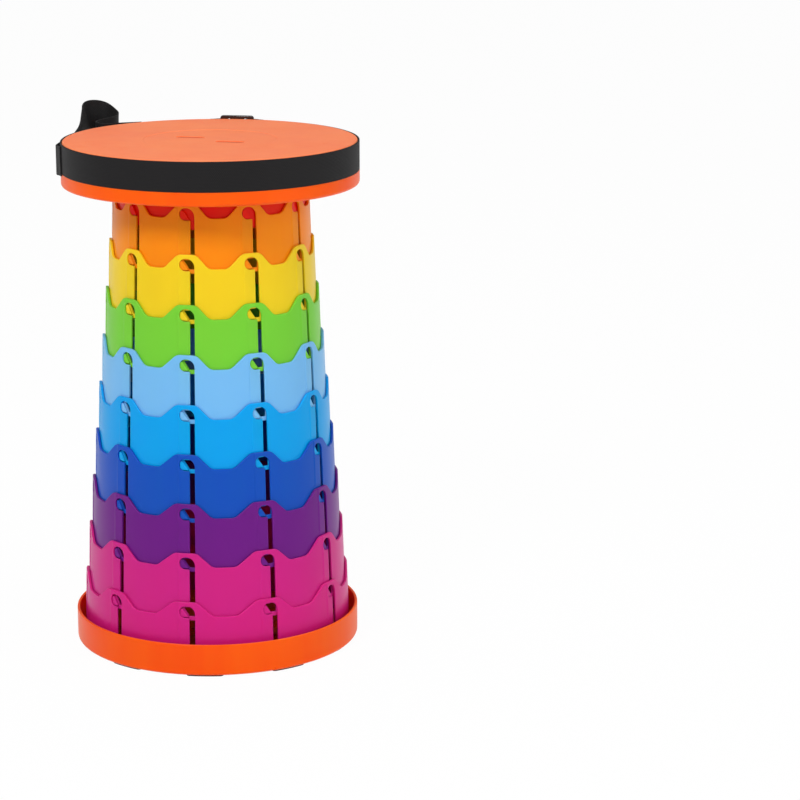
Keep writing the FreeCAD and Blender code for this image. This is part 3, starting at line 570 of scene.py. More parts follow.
class MouldGrain(Effect):
    """The fine eroded texture that a mould leaves on plastic or rubber."""

    name = "MouldGrain"
    inputs = {"Vector": ("Vector", None), "Scale": ("Float", 1500.0), "Depth": ("Float", 1.0)}
    outputs = {"Height": "Float"}

    def lay_out(self) -> dict[str, bpy.types.NodeSocket]:
        """Rounded pits over a finer noise."""
        vector, scale = self.given["Vector"], self.given["Scale"]
        pits = self.tree.add("ShaderNodeTexVoronoi", {"Vector": vector, "Scale": scale}, feature="SMOOTH_F1")
        finer = self.tree.maths("MULTIPLY", scale, 2.3)
        noise = self.tree.add("ShaderNodeTexNoise", {"Vector": vector, "Scale": finer, "Detail": 2.0})
        both = self.tree.maths("ADD", pits.outputs["Distance"], noise.outputs[0])
        return {"Height": self.tree.maths("MULTIPLY", both, self.given["Depth"])}


class HandlingMarks(Effect):
    """Smudges and hair scratches that hands and storage leave, from 0 to 1."""

    name = "HandlingMarks"
    inputs = {"Vector": ("Vector", None), "Scale": ("Float", 14.0), "Scratches": ("Float", 0.5)}
    outputs = {"Mask": "Float", "Scratch": "Float"}

    def lay_out(self) -> dict[str, bpy.types.NodeSocket]:
        """Broad smudges, and thin lines where a stretched noise crosses its middle."""
        vector = self.given["Vector"]
        smudge = self.tree.add(
            "ShaderNodeTexNoise",
            {"Vector": vector, "Scale": self.given["Scale"], "Detail": 4.0, "Roughness": 0.6},
        )
        stretched = self.tree.add("ShaderNodeMapping", {"Vector": vector, "Scale": (38.0, 42.0, 260.0)})
        fine = self.tree.add(
            "ShaderNodeTexNoise",
            {"Vector": stretched.outputs[0], "Scale": 1.0, "Detail": 3.0, "Distortion": 1.2},
        )
        away = self.tree.maths("ABSOLUTE", self.tree.maths("SUBTRACT", fine.outputs[0], 0.5))
        line = self.tree.maths("SUBTRACT", 1.0, self.tree.maths("MULTIPLY", away, 55.0))
        thin = self.tree.maths("MAXIMUM", line, 0.0)
        sparse = self.tree.maths("MULTIPLY", thin, self.tree.maths("GREATER_THAN", smudge.outputs[0], 0.56))
        scratch = self.tree.maths("MULTIPLY", sparse, self.given["Scratches"])
        mask = self.tree.maths("ADD", smudge.outputs[0], scratch)
        return {"Mask": mask, "Scratch": scratch}


class ColourDrift(Effect):
    """The slow change of tone over a dyed or moulded piece, with faint streaks of its flow."""

    name = "ColourDrift"
    inputs = {
        "Vector": ("Vector", None),
        "Colour": ("Color", (0.5, 0.5, 0.5, 1.0)),
        "Scale": ("Float", 9.0),
        "Drift": ("Float", 0.06),
    }
    outputs = {"Colour": "Color"}

    def lay_out(self) -> dict[str, bpy.types.NodeSocket]:
        """Value and hue follow two noises, one broad and one drawn out up Z."""
        vector = self.given["Vector"]
        broad = self.tree.add(
            "ShaderNodeTexNoise", {"Vector": vector, "Scale": self.given["Scale"], "Detail": 2.0}
        )
        drawn = self.tree.add("ShaderNodeMapping", {"Vector": vector, "Scale": (60.0, 60.0, 7.0)})
        streaks = self.tree.add(
            "ShaderNodeTexNoise", {"Vector": drawn.outputs[0], "Scale": 1.0, "Detail": 3.0}
        )
        half = self.tree.maths("MULTIPLY", streaks.outputs[0], 0.5)
        both = self.tree.maths("ADD", broad.outputs[0], half)
        centred = self.tree.maths("SUBTRACT", both, 0.75)
        value = self.tree.maths("MULTIPLY_ADD", centred, self.given["Drift"], 1.0)
        little = self.tree.maths("MULTIPLY", self.given["Drift"], 0.12)
        hue = self.tree.maths("MULTIPLY_ADD", centred, little, 0.5)
        tone = self.tree.add(
            "ShaderNodeHueSaturation", {"Color": self.given["Colour"], "Value": value, "Hue": hue}
        )
        return {"Colour": tone.outputs[0]}


class SettledDust(Effect):
    """Pale dust on the faces that look up, from 0 to 1."""

    name = "SettledDust"
    inputs = {"Vector": ("Vector", None), "Amount": ("Float", 0.1)}
    outputs = {"Mask": "Float"}

    def lay_out(self) -> dict[str, bpy.types.NodeSocket]:
        """More where the face looks up and where a noise lets it lie."""
        normal = self.tree.add("ShaderNodeNewGeometry").outputs["Normal"]
        up = self.tree.add("ShaderNodeSeparateXYZ", {0: normal}).outputs["Z"]
        facing = self.tree.maths("POWER", self.tree.maths("MAXIMUM", up, 0.0), 3.0)
        noise = self.tree.add(
            "ShaderNodeTexNoise", {"Vector": self.given["Vector"], "Scale": 45.0, "Detail": 5.0}
        )
        lying = self.tree.maths("MULTIPLY", facing, noise.outputs[0])
        return {"Mask": self.tree.maths("MULTIPLY", lying, self.given["Amount"])}


class Weave(Effect):
    """Woven yarns on a UV map in metres: U along the piece and V across it."""

    name = "Weave"
    inputs = {
        "Vector": ("Vector", None),
        "Yarns": ("Float", 900.0),
        "Picks": ("Float", 620.0),
    }
    outputs = {"Height": "Float", "CrownHighlight": "Float"}

    def lay_out(self) -> dict[str, bpy.types.NodeSocket]:
        """Ribs along the piece, each passing over and under the cross yarns half a step from the next."""
        parts = self.tree.add("ShaderNodeSeparateXYZ", {0: self.given["Vector"]}).outputs
        across = self.tree.maths("MULTIPLY", parts["Y"], self.given["Yarns"])
        along = self.tree.maths("MULTIPLY", parts["X"], self.given["Picks"])
        rib = self.tree.maths("SINE", self.tree.maths("MULTIPLY", self.tree.maths("FRACT", across), math.pi))
        shift = self.tree.maths("MULTIPLY", self.tree.maths("FLOOR", across), 0.5)
        turn = self.tree.maths("MULTIPLY", self.tree.maths("ADD", along, shift), math.tau)
        wave = self.tree.maths("SINE", turn)
        over = self.tree.maths("MULTIPLY_ADD", wave, 0.35, 0.65)
        height = self.tree.maths("MULTIPLY", rib, over)
        # The squared height marks the tops of the yarns, where the webbing's colour is painted lighter as a
        # highlight and darker between them as shade.
        return {"Height": height, "CrownHighlight": self.tree.maths("POWER", height, 2.0)}


@dataclass
class Workshop:
    """The node groups and patterns that the pieces share."""

    grain: MouldGrain = field(default_factory=MouldGrain)
    marks: HandlingMarks = field(default_factory=HandlingMarks)
    drift: ColourDrift = field(default_factory=ColourDrift)
    dust: SettledDust = field(default_factory=SettledDust)
    weave: Weave = field(default_factory=Weave)
    round_pattern: RoundPattern = field(default_factory=RoundPattern)
    bar_tack: BarTack = field(default_factory=BarTack)


# Finishes


def new_material(name: str) -> tuple[bpy.types.Material, Tree, bpy.types.Node]:
    """A material with its tree and its Principled shader."""
    material = bpy.data.materials.new(name)
    material.use_nodes = True
    tree = Tree(material.node_tree)
    return material, tree, material.node_tree.nodes["Principled BSDF"]


def feed(tree: Tree, shader: bpy.types.Node, **values: object) -> None:
    """Set a shader's inputs.

    Args:
        tree: The material's tree.
        shader: The shader.
        values: A value or a feeding output for each input, its spaces written as underscores.
    """
    for word, value in values.items():
        socket = shader.inputs[word.replace("_", " ")]
        if isinstance(value, bpy.types.NodeSocket):
            tree.tree.links.new(value, socket)
        else:
            socket.default_value = value


def mixed(
    tree: Tree, share: bpy.types.NodeSocket, low: object, high: object
) -> bpy.types.NodeSocket:
    """The colour between two colours, by a share from 0 to 1."""
    node = tree.add("ShaderNodeMix", {"Factor": share, 6: low, 7: high}, data_type="RGBA")
    return node.outputs[2]


def bumped(
    tree: Tree, height: bpy.types.NodeSocket, strength: float, distance: float
) -> bpy.types.NodeSocket:
    """The normal of a surface with a height pressed into it."""
    node = tree.add("ShaderNodeBump", {"Height": height, "Strength": strength, "Distance": distance})
    return node.outputs[0]


@dataclass(frozen=True)
class MouldedPlastic:
    """Satin polypropylene from a finely eroded mould."""

    name: str
    colour: Colour
    roughness: float = 0.36
    spread: float = 0.12
    grain: float = 1.0
    dust: float = 0.05
    drift: float = 0.10
    shine: float = 0.14
    glow: float = 0.4
    glow_reach: float = 4.0 * MM
    pit: float = 0.06 * MM
    dust_colour: Colour = (235, 226, 214)

    def material(self, shop: Workshop) -> bpy.types.Material:
        """Build the material.

        Args:
            shop: The shared node groups.

        Returns:
            The finished material.
        """
        material, tree, shader = new_material(self.name)
        place = tree.add("ShaderNodeTexCoord").outputs["Object"]
        tone = shop.drift.use(tree, Vector=place, Colour=linear(self.colour), Drift=self.drift)["Colour"]
        marks = shop.marks.use(tree, Vector=place)
        dust = shop.dust.use(tree, Vector=place, Amount=self.dust)["Mask"]
        height = shop.grain.use(tree, Vector=place, Depth=self.grain)["Height"]
        feed(
            tree,
            shader,
            Base_Color=mixed(tree, dust, tone, linear(self.dust_colour)),
            Roughness=tree.maths(
                "MULTIPLY_ADD", marks["Mask"], self.spread, self.roughness - self.spread / 2
            ),
            Normal=bumped(tree, height, 0.12, self.pit),
            Specular_IOR_Level=self.shine,
            Subsurface_Weight=self.glow,
            Subsurface_Radius=(1.0, 1.0, 1.0),
            Subsurface_Scale=self.glow_reach,
        )
        return material


@dataclass(frozen=True)
class Webbing:
    """Woven nylon webbing. It reads the piece's UV map, in metres."""

    name: str
    colour: Colour
    # The lighter colour on the yarns' tops is a painted highlight.
    crown: Colour
    depth: float = 0.22 * MM

    def material(self, shop: Workshop) -> bpy.types.Material:
        """Build the material.

        Args:
            shop: The shared node groups.

        Returns:
            The finished material.
        """
        material, tree, shader = new_material(self.name)
        across = tree.add("ShaderNodeUVMap", uv_map="Weave").outputs[0]
        place = tree.add("ShaderNodeTexCoord").outputs["Object"]
        weave = shop.weave.use(tree, Vector=across)
        # Painted highlight: the tops of the yarns take the lighter crown colour, the hollows between them
        # stay darker as painted shade.
        yarn = mixed(tree, weave["CrownHighlight"], linear(self.colour), linear(self.crown))
        fuzz = shop.grain.use(tree, Vector=place, Scale=2600.0, Depth=0.25)["Height"]
        height = tree.maths("ADD", weave["Height"], fuzz)
        feed(
            tree,
            shader,
            Base_Color=shop.drift.use(tree, Vector=place, Colour=yarn, Scale=30.0, Drift=0.3)["Colour"],
            Normal=bumped(tree, height, 0.5, self.depth),
            Roughness=tree.maths("MULTIPLY_ADD", weave["Height"], -0.12, 0.72),
            Specular_IOR_Level=0.22,
            Sheen_Weight=0.03,
            Sheen_Roughness=0.5,
        )
        return material


@dataclass(frozen=True)
class GlossPlastic:
    """Hard polished plastic, finely scratched."""

    name: str
    colour: Colour
    roughness: float = 0.16

    def material(self, shop: Workshop) -> bpy.types.Material:
        """Build the material.

        Args:
            shop: The shared node groups.

        Returns:
            The finished material.
        """
        material, tree, shader = new_material(self.name)
        place = tree.add("ShaderNodeTexCoord").outputs["Object"]
        colour = linear(self.colour)
        marks = shop.marks.use(tree, Vector=place, Scale=60.0, Scratches=0.8)
        feed(
            tree,
            shader,
            Base_Color=shop.drift.use(tree, Vector=place, Colour=colour, Scale=40.0, Drift=0.25)["Colour"],
            Roughness=tree.maths("MULTIPLY_ADD", marks["Mask"], 0.14, self.roughness - 0.06),
            Normal=bumped(tree, marks["Scratch"], 0.1, 0.03 * MM),
        )
        return material


@dataclass(frozen=True)
class Rubber:
    """Matt rubber with a coarse moulded grain."""

    name: str
    colour: Colour

    def material(self, shop: Workshop) -> bpy.types.Material:
        """Build the material.

        Args:
            shop: The shared node groups.

        Returns:
            The finished material.
        """
        material, tree, shader = new_material(self.name)
        place = tree.add("ShaderNodeTexCoord").outputs["Object"]
        colour = linear(self.colour)
        marks = shop.marks.use(tree, Vector=place, Scale=30.0)
        height = shop.grain.use(tree, Vector=place, Scale=900.0)["Height"]
        feed(
            tree,
            shader,
            Base_Color=shop.drift.use(tree, Vector=place, Colour=colour, Scale=25.0, Drift=0.2)["Colour"],
            Roughness=tree.maths("MULTIPLY_ADD", marks["Mask"], 0.2, 0.62),
            Normal=bumped(tree, height, 0.3, 0.1 * MM),
        )
        return material


@dataclass(frozen=True)
class PlatedSteel:
    """Zinc-plated screw steel."""

    name: str
    colour: Colour

    def material(self, shop: Workshop) -> bpy.types.Material:
        """Build the material.

        Args:
            shop: The shared node groups.

        Returns:
            The finished material.
        """
        material, tree, shader = new_material(self.name)
        place = tree.add("ShaderNodeTexCoord").outputs["Object"]
        colour = linear(self.colour)
        marks = shop.marks.use(tree, Vector=place, Scale=200.0, Scratches=1.0)
        feed(
            tree,
            shader,
            Base_Color=shop.drift.use(tree, Vector=place, Colour=colour, Scale=120.0, Drift=0.3)["Colour"],
            Roughness=tree.maths("MULTIPLY_ADD", marks["Mask"], 0.25, 0.2),
            Metallic=1.0,
        )
        return material


@dataclass(frozen=True)
class Thread:
    """Twisted sewing thread."""

    name: str
    colour: Colour

    def material(self, shop: Workshop) -> bpy.types.Material:
        """Build the material.

        Args:
            shop: The shared node groups.

        Returns:
            The finished material.
        """
        material, tree, shader = new_material(self.name)
        place = tree.add("ShaderNodeTexCoord").outputs["Object"]
        colour = linear(self.colour)
        twist = tree.add(
            "ShaderNodeTexWave",
            {"Vector": place, "Scale": 900.0, "Distortion": 1.5},
            bands_direction="DIAGONAL",
        )
        fuzz = shop.grain.use(tree, Vector=place, Scale=4000.0)["Height"]
        feed(
            tree,
            shader,
            Base_Color=shop.drift.use(tree, Vector=place, Colour=colour, Scale=400.0, Drift=0.3)["Colour"],
            Normal=bumped(tree, twist.outputs["Fac"], 0.4, 0.1 * MM),
            Roughness=tree.maths("MULTIPLY_ADD", fuzz, 0.08, 0.6),
        )
        return material


class Tone(Enum):
    """Each tier's colour, from the dish up, with a slot name for it."""

    RING_1 = ("tier_magenta", (210, 28, 130))
    RING_2 = ("tier_magenta", (206, 30, 132))
    RING_3 = ("tier_purple", (110, 22, 132))
    RING_4 = ("tier_royal_blue", (14, 80, 186))
    RING_5 = ("tier_sky_blue", (0, 162, 236))
    RING_6 = ("tier_light_blue", (120, 188, 242))
    RING_7 = ("tier_green", (120, 208, 56))
    RING_8 = ("tier_yellow", (244, 208, 30))
    RING_9 = ("tier_orange", (255, 142, 8))


SHELL = MouldedPlastic("OrangeShell", (255, 90, 0))
# Painted shade: the collar takes a darker, redder orange than the shell, as the shell's orange looks in the
# shade under the seat.
COLLAR_PAINTED_SHADE = MouldedPlastic("CollarPlasticPaintedShade", (238, 26, 2), dust=0.0)
# Painted reflection: the top plate is a paler copy of the shell's orange, its lightness standing in for the
# sheen of the white surroundings on the top face.
SEAT_PLATE_PAINTED_SHEEN = MouldedPlastic("TopPlatePaintedSheen", (252, 126, 76), roughness=0.45, dust=0.04)
# Painted shade: the floors of the plate's marks take a darker orange that stands in for the shade of a deeper
# recess.
SEAT_MARK_PAINTED_SHADE = MouldedPlastic("PlateMarkPaintedShade", (206, 70, 30), roughness=0.5, dust=0.0)
# The second colour is a painted highlight on the tops of the yarns.
BLACK_WEBBING = Webbing("BlackWebbing", (12, 11, 12), (36, 33, 35))
DARK_BUCKLE = GlossPlastic("DarkBuckle", (34, 24, 23))
FOOT_RUBBER = Rubber("FootRubber", (70, 38, 28))
SCREW_STEEL = PlatedSteel("ScrewSteel", (196, 198, 202))
WHITE_THREAD = Thread("WhiteThread", (236, 234, 228))


def mount(thing: bpy.types.Object, body: str, nodes: Sequence[str]) -> bpy.types.Object:
    """Hand a finished piece to the frame.

    Args:
        thing: The piece.
        body: The CAD body that it rides on.
        nodes: The CAD nodes that it stands for.

    Returns:
        The piece.
    """
    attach(thing, body)
    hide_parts(*nodes)
    return thing


def dress(node: str, material: bpy.types.Material) -> None:
    """Give a CAD node that stays as it is its finish."""
    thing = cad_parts[node]
    for slot in thing.material_slots:
        slot.material = material
    log.info("%s keeps its CAD shape", node)


# Tiers


@dataclass
class TierRing:
    """One ring of the tower: ten panels with humps, hooked slots and lugs."""

    tier: int
    tiers: int = 9
    first_radius: float = 112.5 * MM
    radius_step: float = 3.8 * MM
    taper: float = (3.8 - 2.1 - 0.3) / 41.15
    full_height: float = 57.2 * MM
    wall: float = 2.1 * MM
    edge: float = 0.5 * MM
    panels: int = 10
    slot_turn: float = -11.0
    slot_half: float = 1.2
    hump_left: float = -8.2
    hump_right: float = 2.1
    dip_start: float = 9.1
    dip_end: float = -16.5
    dip_depth: float = 12.0 * MM
    dip_corner: float = 8.0 * MM
    seam: float = 14.95
    band: float = 3.5 * MM
    pocket_top: float = 3.4 * MM
    pocket_height: float = 10.2 * MM
    pocket_reach: float = 10.8 * MM
    pocket_bend: float = 7.0 * MM
    crease: float = 11.4 * MM
    crease_rise: float = 0.42 * MM
    lug_width: float = 7.6 * MM
    lug_height: float = 7.6 * MM
    lug_slant: float = 5.2 * MM
    lug_foot: float = 2.75 * MM
    lug_inset: float = 0.6 * MM
    lug_out: float = 1.4 * MM
    lug_crown: float = 0.15 * MM
    lug_clear: float = 0.25 * MM
    collar_lug: float = 82.46 * MM
    way_skin: float = 0.3 * MM
    opening_gap: float = 0.5 * MM
    opening_height: float = 8.4 * MM
    tip_right: float = 0.7 * MM
    tip_drop: float = 0.6 * MM
    lug_edge: float = 0.85 * MM
    lug_corners: tuple[float, float, float, float] = (2.4 * MM, 0.9 * MM, 0.9 * MM, 1.4 * MM)
    slot_corner: float = 0.6 * MM
    shelf_corner: float = 0.9 * MM
    opening_corners: tuple[float, float, float] = (0.8 * MM, 0.5 * MM, 0.4 * MM)
    spare: float = 2.0
    strips: int = 18
    crease_start: float = 1.5 * MM
    crease_side: float = 0.5 * MM
    way_side: float = 0.3 * MM
    overlap: tuple[float, float, float] = (14 * MM, 17 * MM, 20 * MM)

    def __post_init__(self) -> None:
        """Take the ring's place from its CAD node."""
        low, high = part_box(self.node)
        self.foot = low[2]
        self.height = high[2] - low[2]
        self.top_radius = self.first_radius - self.radius_step * (self.tier - 1)

    @property
    def node(self) -> str:
        """The name of the CAD node."""
        return f"ring_{self.tier}"

    def arc(self, degrees: float) -> float:
        """Length along the wall for an angle from the slot's middle."""
        return math.radians(degrees) * self.top_radius

    def wall_outline(self) -> list[Point]:
        """One panel seen from outside, a little wider than its tenth of the ring."""
        spare = self.arc(self.spare)
        dip = self.height - self.dip_depth
        left, right = self.arc(self.seam - 360 / self.panels) - spare, self.arc(self.seam) + spare
        return rounded_outline(
            [
                (left, 0, 0),
                (right, 0, 0),
                (right, dip, 0),
                (self.arc(self.dip_start), dip, self.dip_corner),
                (self.arc(self.hump_right), self.height, self.dip_corner),
                (self.arc(self.hump_left), self.height, self.dip_corner),
                (self.arc(self.dip_end), dip, self.dip_corner),
                (left, dip, 0),
            ]
        )

    def opening_side(self, height: float) -> float:
        """Where the left side of the opening beside the lug runs at a height."""
        start = self.lug_inset - self.pocket_reach + self.lug_width + self.opening_gap
        lean = (self.lug_slant - self.tip_right) / (self.lug_height - self.tip_drop)
        return start - lean * (height - self.lug_foot)

    def slot_outline(self) -> list[Point]:
        """The hooked slot: straight up, then round to the pocket on its left."""
        half = self.arc(self.slot_half)
        ceiling = self.height - self.pocket_top
        shelf = ceiling - self.pocket_height
        round_end = self.pocket_height / 2 - STRAIGHT
        left_side = [(-half, self.band, self.slot_corner)]
        if self.tier > 1:
            top = self.lug_foot + self.opening_height
            places = ((-half, top), (self.opening_side(top), top), (self.opening_side(self.band), self.band))
            left_side = [(*place, corner) for place, corner in zip(places, self.opening_corners)]
        return rounded_outline(
            left_side
            + [
                (half, self.band, self.slot_corner),
                (half, ceiling, self.pocket_bend),
                (-self.pocket_reach, ceiling, round_end),
                (-self.pocket_reach, shelf, round_end),
                (-half, shelf, self.shelf_corner),
            ]
        )

    def placed(self, point: Vector, radius: float) -> Vector:
        """Where a point of the flat wall stands on the ring, at a radius."""
        turn = FRONT + self.slot_turn + math.degrees(point.x / self.top_radius)
        return polar(radius, turn, self.foot + point.y)

    def panel(self) -> bmesh.types.BMesh:
        """One tenth of the wall, bent to the cone."""
        mesh = rounded_plate([self.wall_outline(), self.slot_outline()], self.wall, self.edge)
        way_left = self.lug_inset - self.pocket_reach - self.lug_clear
        way_right = way_left + self.lug_width + 2 * self.lug_clear
        low, high = self.arc(self.seam - 360 / self.panels), self.arc(self.seam)
        cuts = [low + (high - low) * i / self.strips for i in range(1, self.strips)]
        cuts += [-self.crease, -self.crease - self.crease_side]
        cuts += [way_left, way_left - self.way_side, way_right, way_right + self.way_side]
        cut(mesh, cuts)
        merge_faces(mesh, self.wall)
        cut(mesh, self.overlap, axis=1)
        keep_between(mesh, low, high)
        pocket_middle = self.height - self.pocket_top - self.pocket_height / 2
        way_radius = self.top_radius - self.radius_step + self.full_height * self.taper
        way_radius += self.lug_out + self.lug_crown + self.lug_clear
        if self.tier == self.tiers:
            way_radius = self.collar_lug + self.lug_clear

        def bent(point: Vector) -> Vector:
            """Lay the flat panel round the cone, with the crease raised and the lug's way cut in."""
            outside = self.top_radius + (self.height - point.y) * self.taper
            radius = outside - point.z
            if point.z < self.wall / 2 and -self.crease - SAME <= point.x < 0:
                rise = smooth((point.y - self.overlap[0]) / (self.overlap[-1] - self.overlap[0]))
                radius += self.crease_rise * rise * max(-point.x - self.crease_start, 0) / self.crease
            in_way = way_left - SAME <= point.x <= way_right + SAME and point.y < pocket_middle
            if point.z > self.wall / 2 and in_way:
                radius = max(radius, min(way_radius, outside - self.way_skin))
            return self.placed(point, radius)

        return shape(mesh, bent)

    def lug(self) -> bmesh.types.BMesh:
        """One lug, upright on its left and slanted on its right, its back sunk in the wall."""
        left = self.lug_inset - self.pocket_reach
        right = left + self.lug_width
        head = self.lug_foot + self.lug_height
        places = ((left, self.lug_foot), (right, self.lug_foot), (right - self.lug_slant, head), (left, head))
        outline = rounded_outline([(*place, corner) for place, corner in zip(places, self.lug_corners)])
        mesh = rounded_plate([outline], self.lug_out + self.wall / 2, self.lug_edge, steps=4)
        cut(mesh, [left + self.lug_width * i / 4 for i in range(1, 4)])
        face = self.top_radius + self.full_height * self.taper + self.lug_out + self.lug_crown

        return shape(mesh, lambda point: self.placed(point, face - point.z))

    def build(self, shop: Workshop, material: bpy.types.Material) -> bpy.types.Object:
        """Build the whole ring.

        Args:
            shop: The shared patterns.
            material: The ring's finish.

        Returns:
            The ring as one mesh.
        """
        pieces = [self.panel()]
        if self.tier > 1:
            pieces.append(self.lug())
        thing = new_object(f"tier_{self.tier}_shell", joined(pieces), closed=False)
        shop.round_pattern.apply(
            thing, Count=self.panels, Step=math.tau / self.panels, Weld=WELD, Finish=material
        )
        face_out(thing)
        return soften(thing)


def face_out(thing: bpy.types.Object) -> None:
    """Turn the faces of a closed mesh to point outwards."""
    mesh = bmesh.new()
    mesh.from_mesh(thing.data)
    bmesh.ops.recalc_face_normals(mesh, faces=mesh.faces[:])
    open_edges = sum(len(edge.link_faces) != 2 for edge in mesh.edges)
    if open_edges:
        log.warning("%s has %d open edges", thing.name, open_edges)
    mesh.to_mesh(thing.data)
    mesh.free()


# Webbing


@dataclass
class Ribbon:
    """A strip of webbing that stands on its edge along a line."""

    width: float = 24.8 * MM
    thickness: float = 1.3 * MM
    edge: float = 0.5 * MM
    edge_step: float = math.radians(30)
    columns: int = 8

    def section(self) -> list[Point]:
        """The cut through the webbing: how far across and how far out each point of its edge lies."""
        half, out = self.width / 2, self.thickness / 2
        outline = rounded_box(half, out, self.edge, step=self.edge_step)
        inner = half - self.edge
        marks = [inner * (2 * i / self.columns - 1) for i in range(1, self.columns)]
        inside = [(across, -out) for across in marks]
        outside = [(across, out) for across in reversed(marks)]
        quarter = len(outline) // 4
        return outline[:quarter] + inside + outline[quarter : 3 * quarter] + outside + outline[3 * quarter :]

    def sweep(self, line: Sequence[Vector], leans: Sequence[float]) -> bmesh.types.BMesh:
        """Lay the webbing along a line.

        Args:
            line: The points that its middle follows.
            leans: For each point, how far the webbing leans outwards, in degrees.

        Returns:
            The webbing as a closed mesh, with a UV map in metres along and across it.
        """
        mesh = bmesh.new()
        weave = mesh.loops.layers.uv.new("Weave")
        section = self.section()
        loops: list[Loop] = []
        along: list[float] = []
        for i, (place, lean) in enumerate(zip(line, leans)):
            tangent = (line[min(i + 1, len(line) - 1)] - line[max(i - 1, 0)]).normalized()
            level = Vector((0, 0, 1))
            upright = (level - level.dot(tangent) * tangent).normalized()
            outwards = tangent.cross(upright)
            turn = Matrix.Rotation(math.radians(lean), 3, upright.cross(outwards))
            across, out = turn @ upright, turn @ outwards
            loops.append([mesh.verts.new(place + across * a + out * o) for a, o in section])
            along.append(along[-1] + (place - line[i - 1]).length if i else 0.0)
        for i, (before, after) in enumerate(zip(loops, loops[1:])):
            for j in range(len(section)):
                k = (j + 1) % len(section)
                face = mesh.faces.new((before[j], before[k], after[k], after[j]))
                places = ((i, j), (i, k), (i + 1, k), (i + 1, j))
                for loop, (station, point) in zip(face.loops, places):
                    loop[weave].uv = (along[station], section[point][0])
        for ends, station in ((loops[0], 0), (loops[-1], -1)):
            face = mesh.faces.new(ends)
            for loop, (across, out) in zip(face.loops, section):
                loop[weave].uv = (along[station] + out, across)
        return mesh


@dataclass
class StrapBand:
    """The webbing round the seat, each end brought through the buckle and laid back on itself."""

    ribbon: Ribbon = field(default_factory=Ribbon)
    foot: float = 407.8 * MM
    inner_radius: float = 124.35 * MM
    outer_radius: float = 128.35 * MM
    laid_radius: float = 125.8 * MM
    buckle_turn: float = 79.0
    fold_place: float = 9.9 * MM
    fold_length: float = 14.0 * MM
    laid_from: float = 15.5 * MM
    laid_at: float = 23.0 * MM
    laid_steps: int = 16
    fold_steps: int = 14
    round_steps: int = 240

    def end(self) -> list[Point]:
        """One end, from its tip to where the inner layer starts: place round the seat and radius."""
        middle = (self.inner_radius + self.outer_radius) / 2
        tip = self.fold_place + self.fold_length
        places: list[Point] = []
        for i in range(self.laid_steps):
            place = tip + (self.fold_place - tip) * i / self.laid_steps
            laid = smooth((place - self.laid_from) / (self.laid_at - self.laid_from))
            places.append((place, self.outer_radius + (self.laid_radius - self.outer_radius) * laid))
        reach = (self.outer_radius - self.inner_radius) / 2
        for i in range(self.fold_steps + 1):
            angle = math.pi * i / self.fold_steps
            places.append((self.fold_place - reach * math.sin(angle), middle + reach * math.cos(angle)))
        return places

    def line(self) -> list[Vector]:
        """The middle of the webbing from one tip to the other."""
        middle = (self.inner_radius + self.outer_radius) / 2
        height = self.foot + self.ribbon.width / 2
        end = [(math.degrees(place / middle), radius) for place, radius in self.end()]
        first, last = end[-1][0], 360 - end[-1][0]
        shares = [i / self.round_steps for i in range(1, self.round_steps)]
        between = [(first + (last - first) * share, self.inner_radius) for share in shares]
        whole = end + between + [(360 - turn, radius) for turn, radius in reversed(end)]
        return [polar(radius, self.buckle_turn + turn, height) for turn, radius in whole]

    def build(self, material: bpy.types.Material) -> bpy.types.Object:
        """Build the band."""
        line = self.line()
        thing = new_object("seat_strap", self.ribbon.sweep(line, [0.0] * len(line)))
        thing.data.materials.append(material)
        return soften(thing)


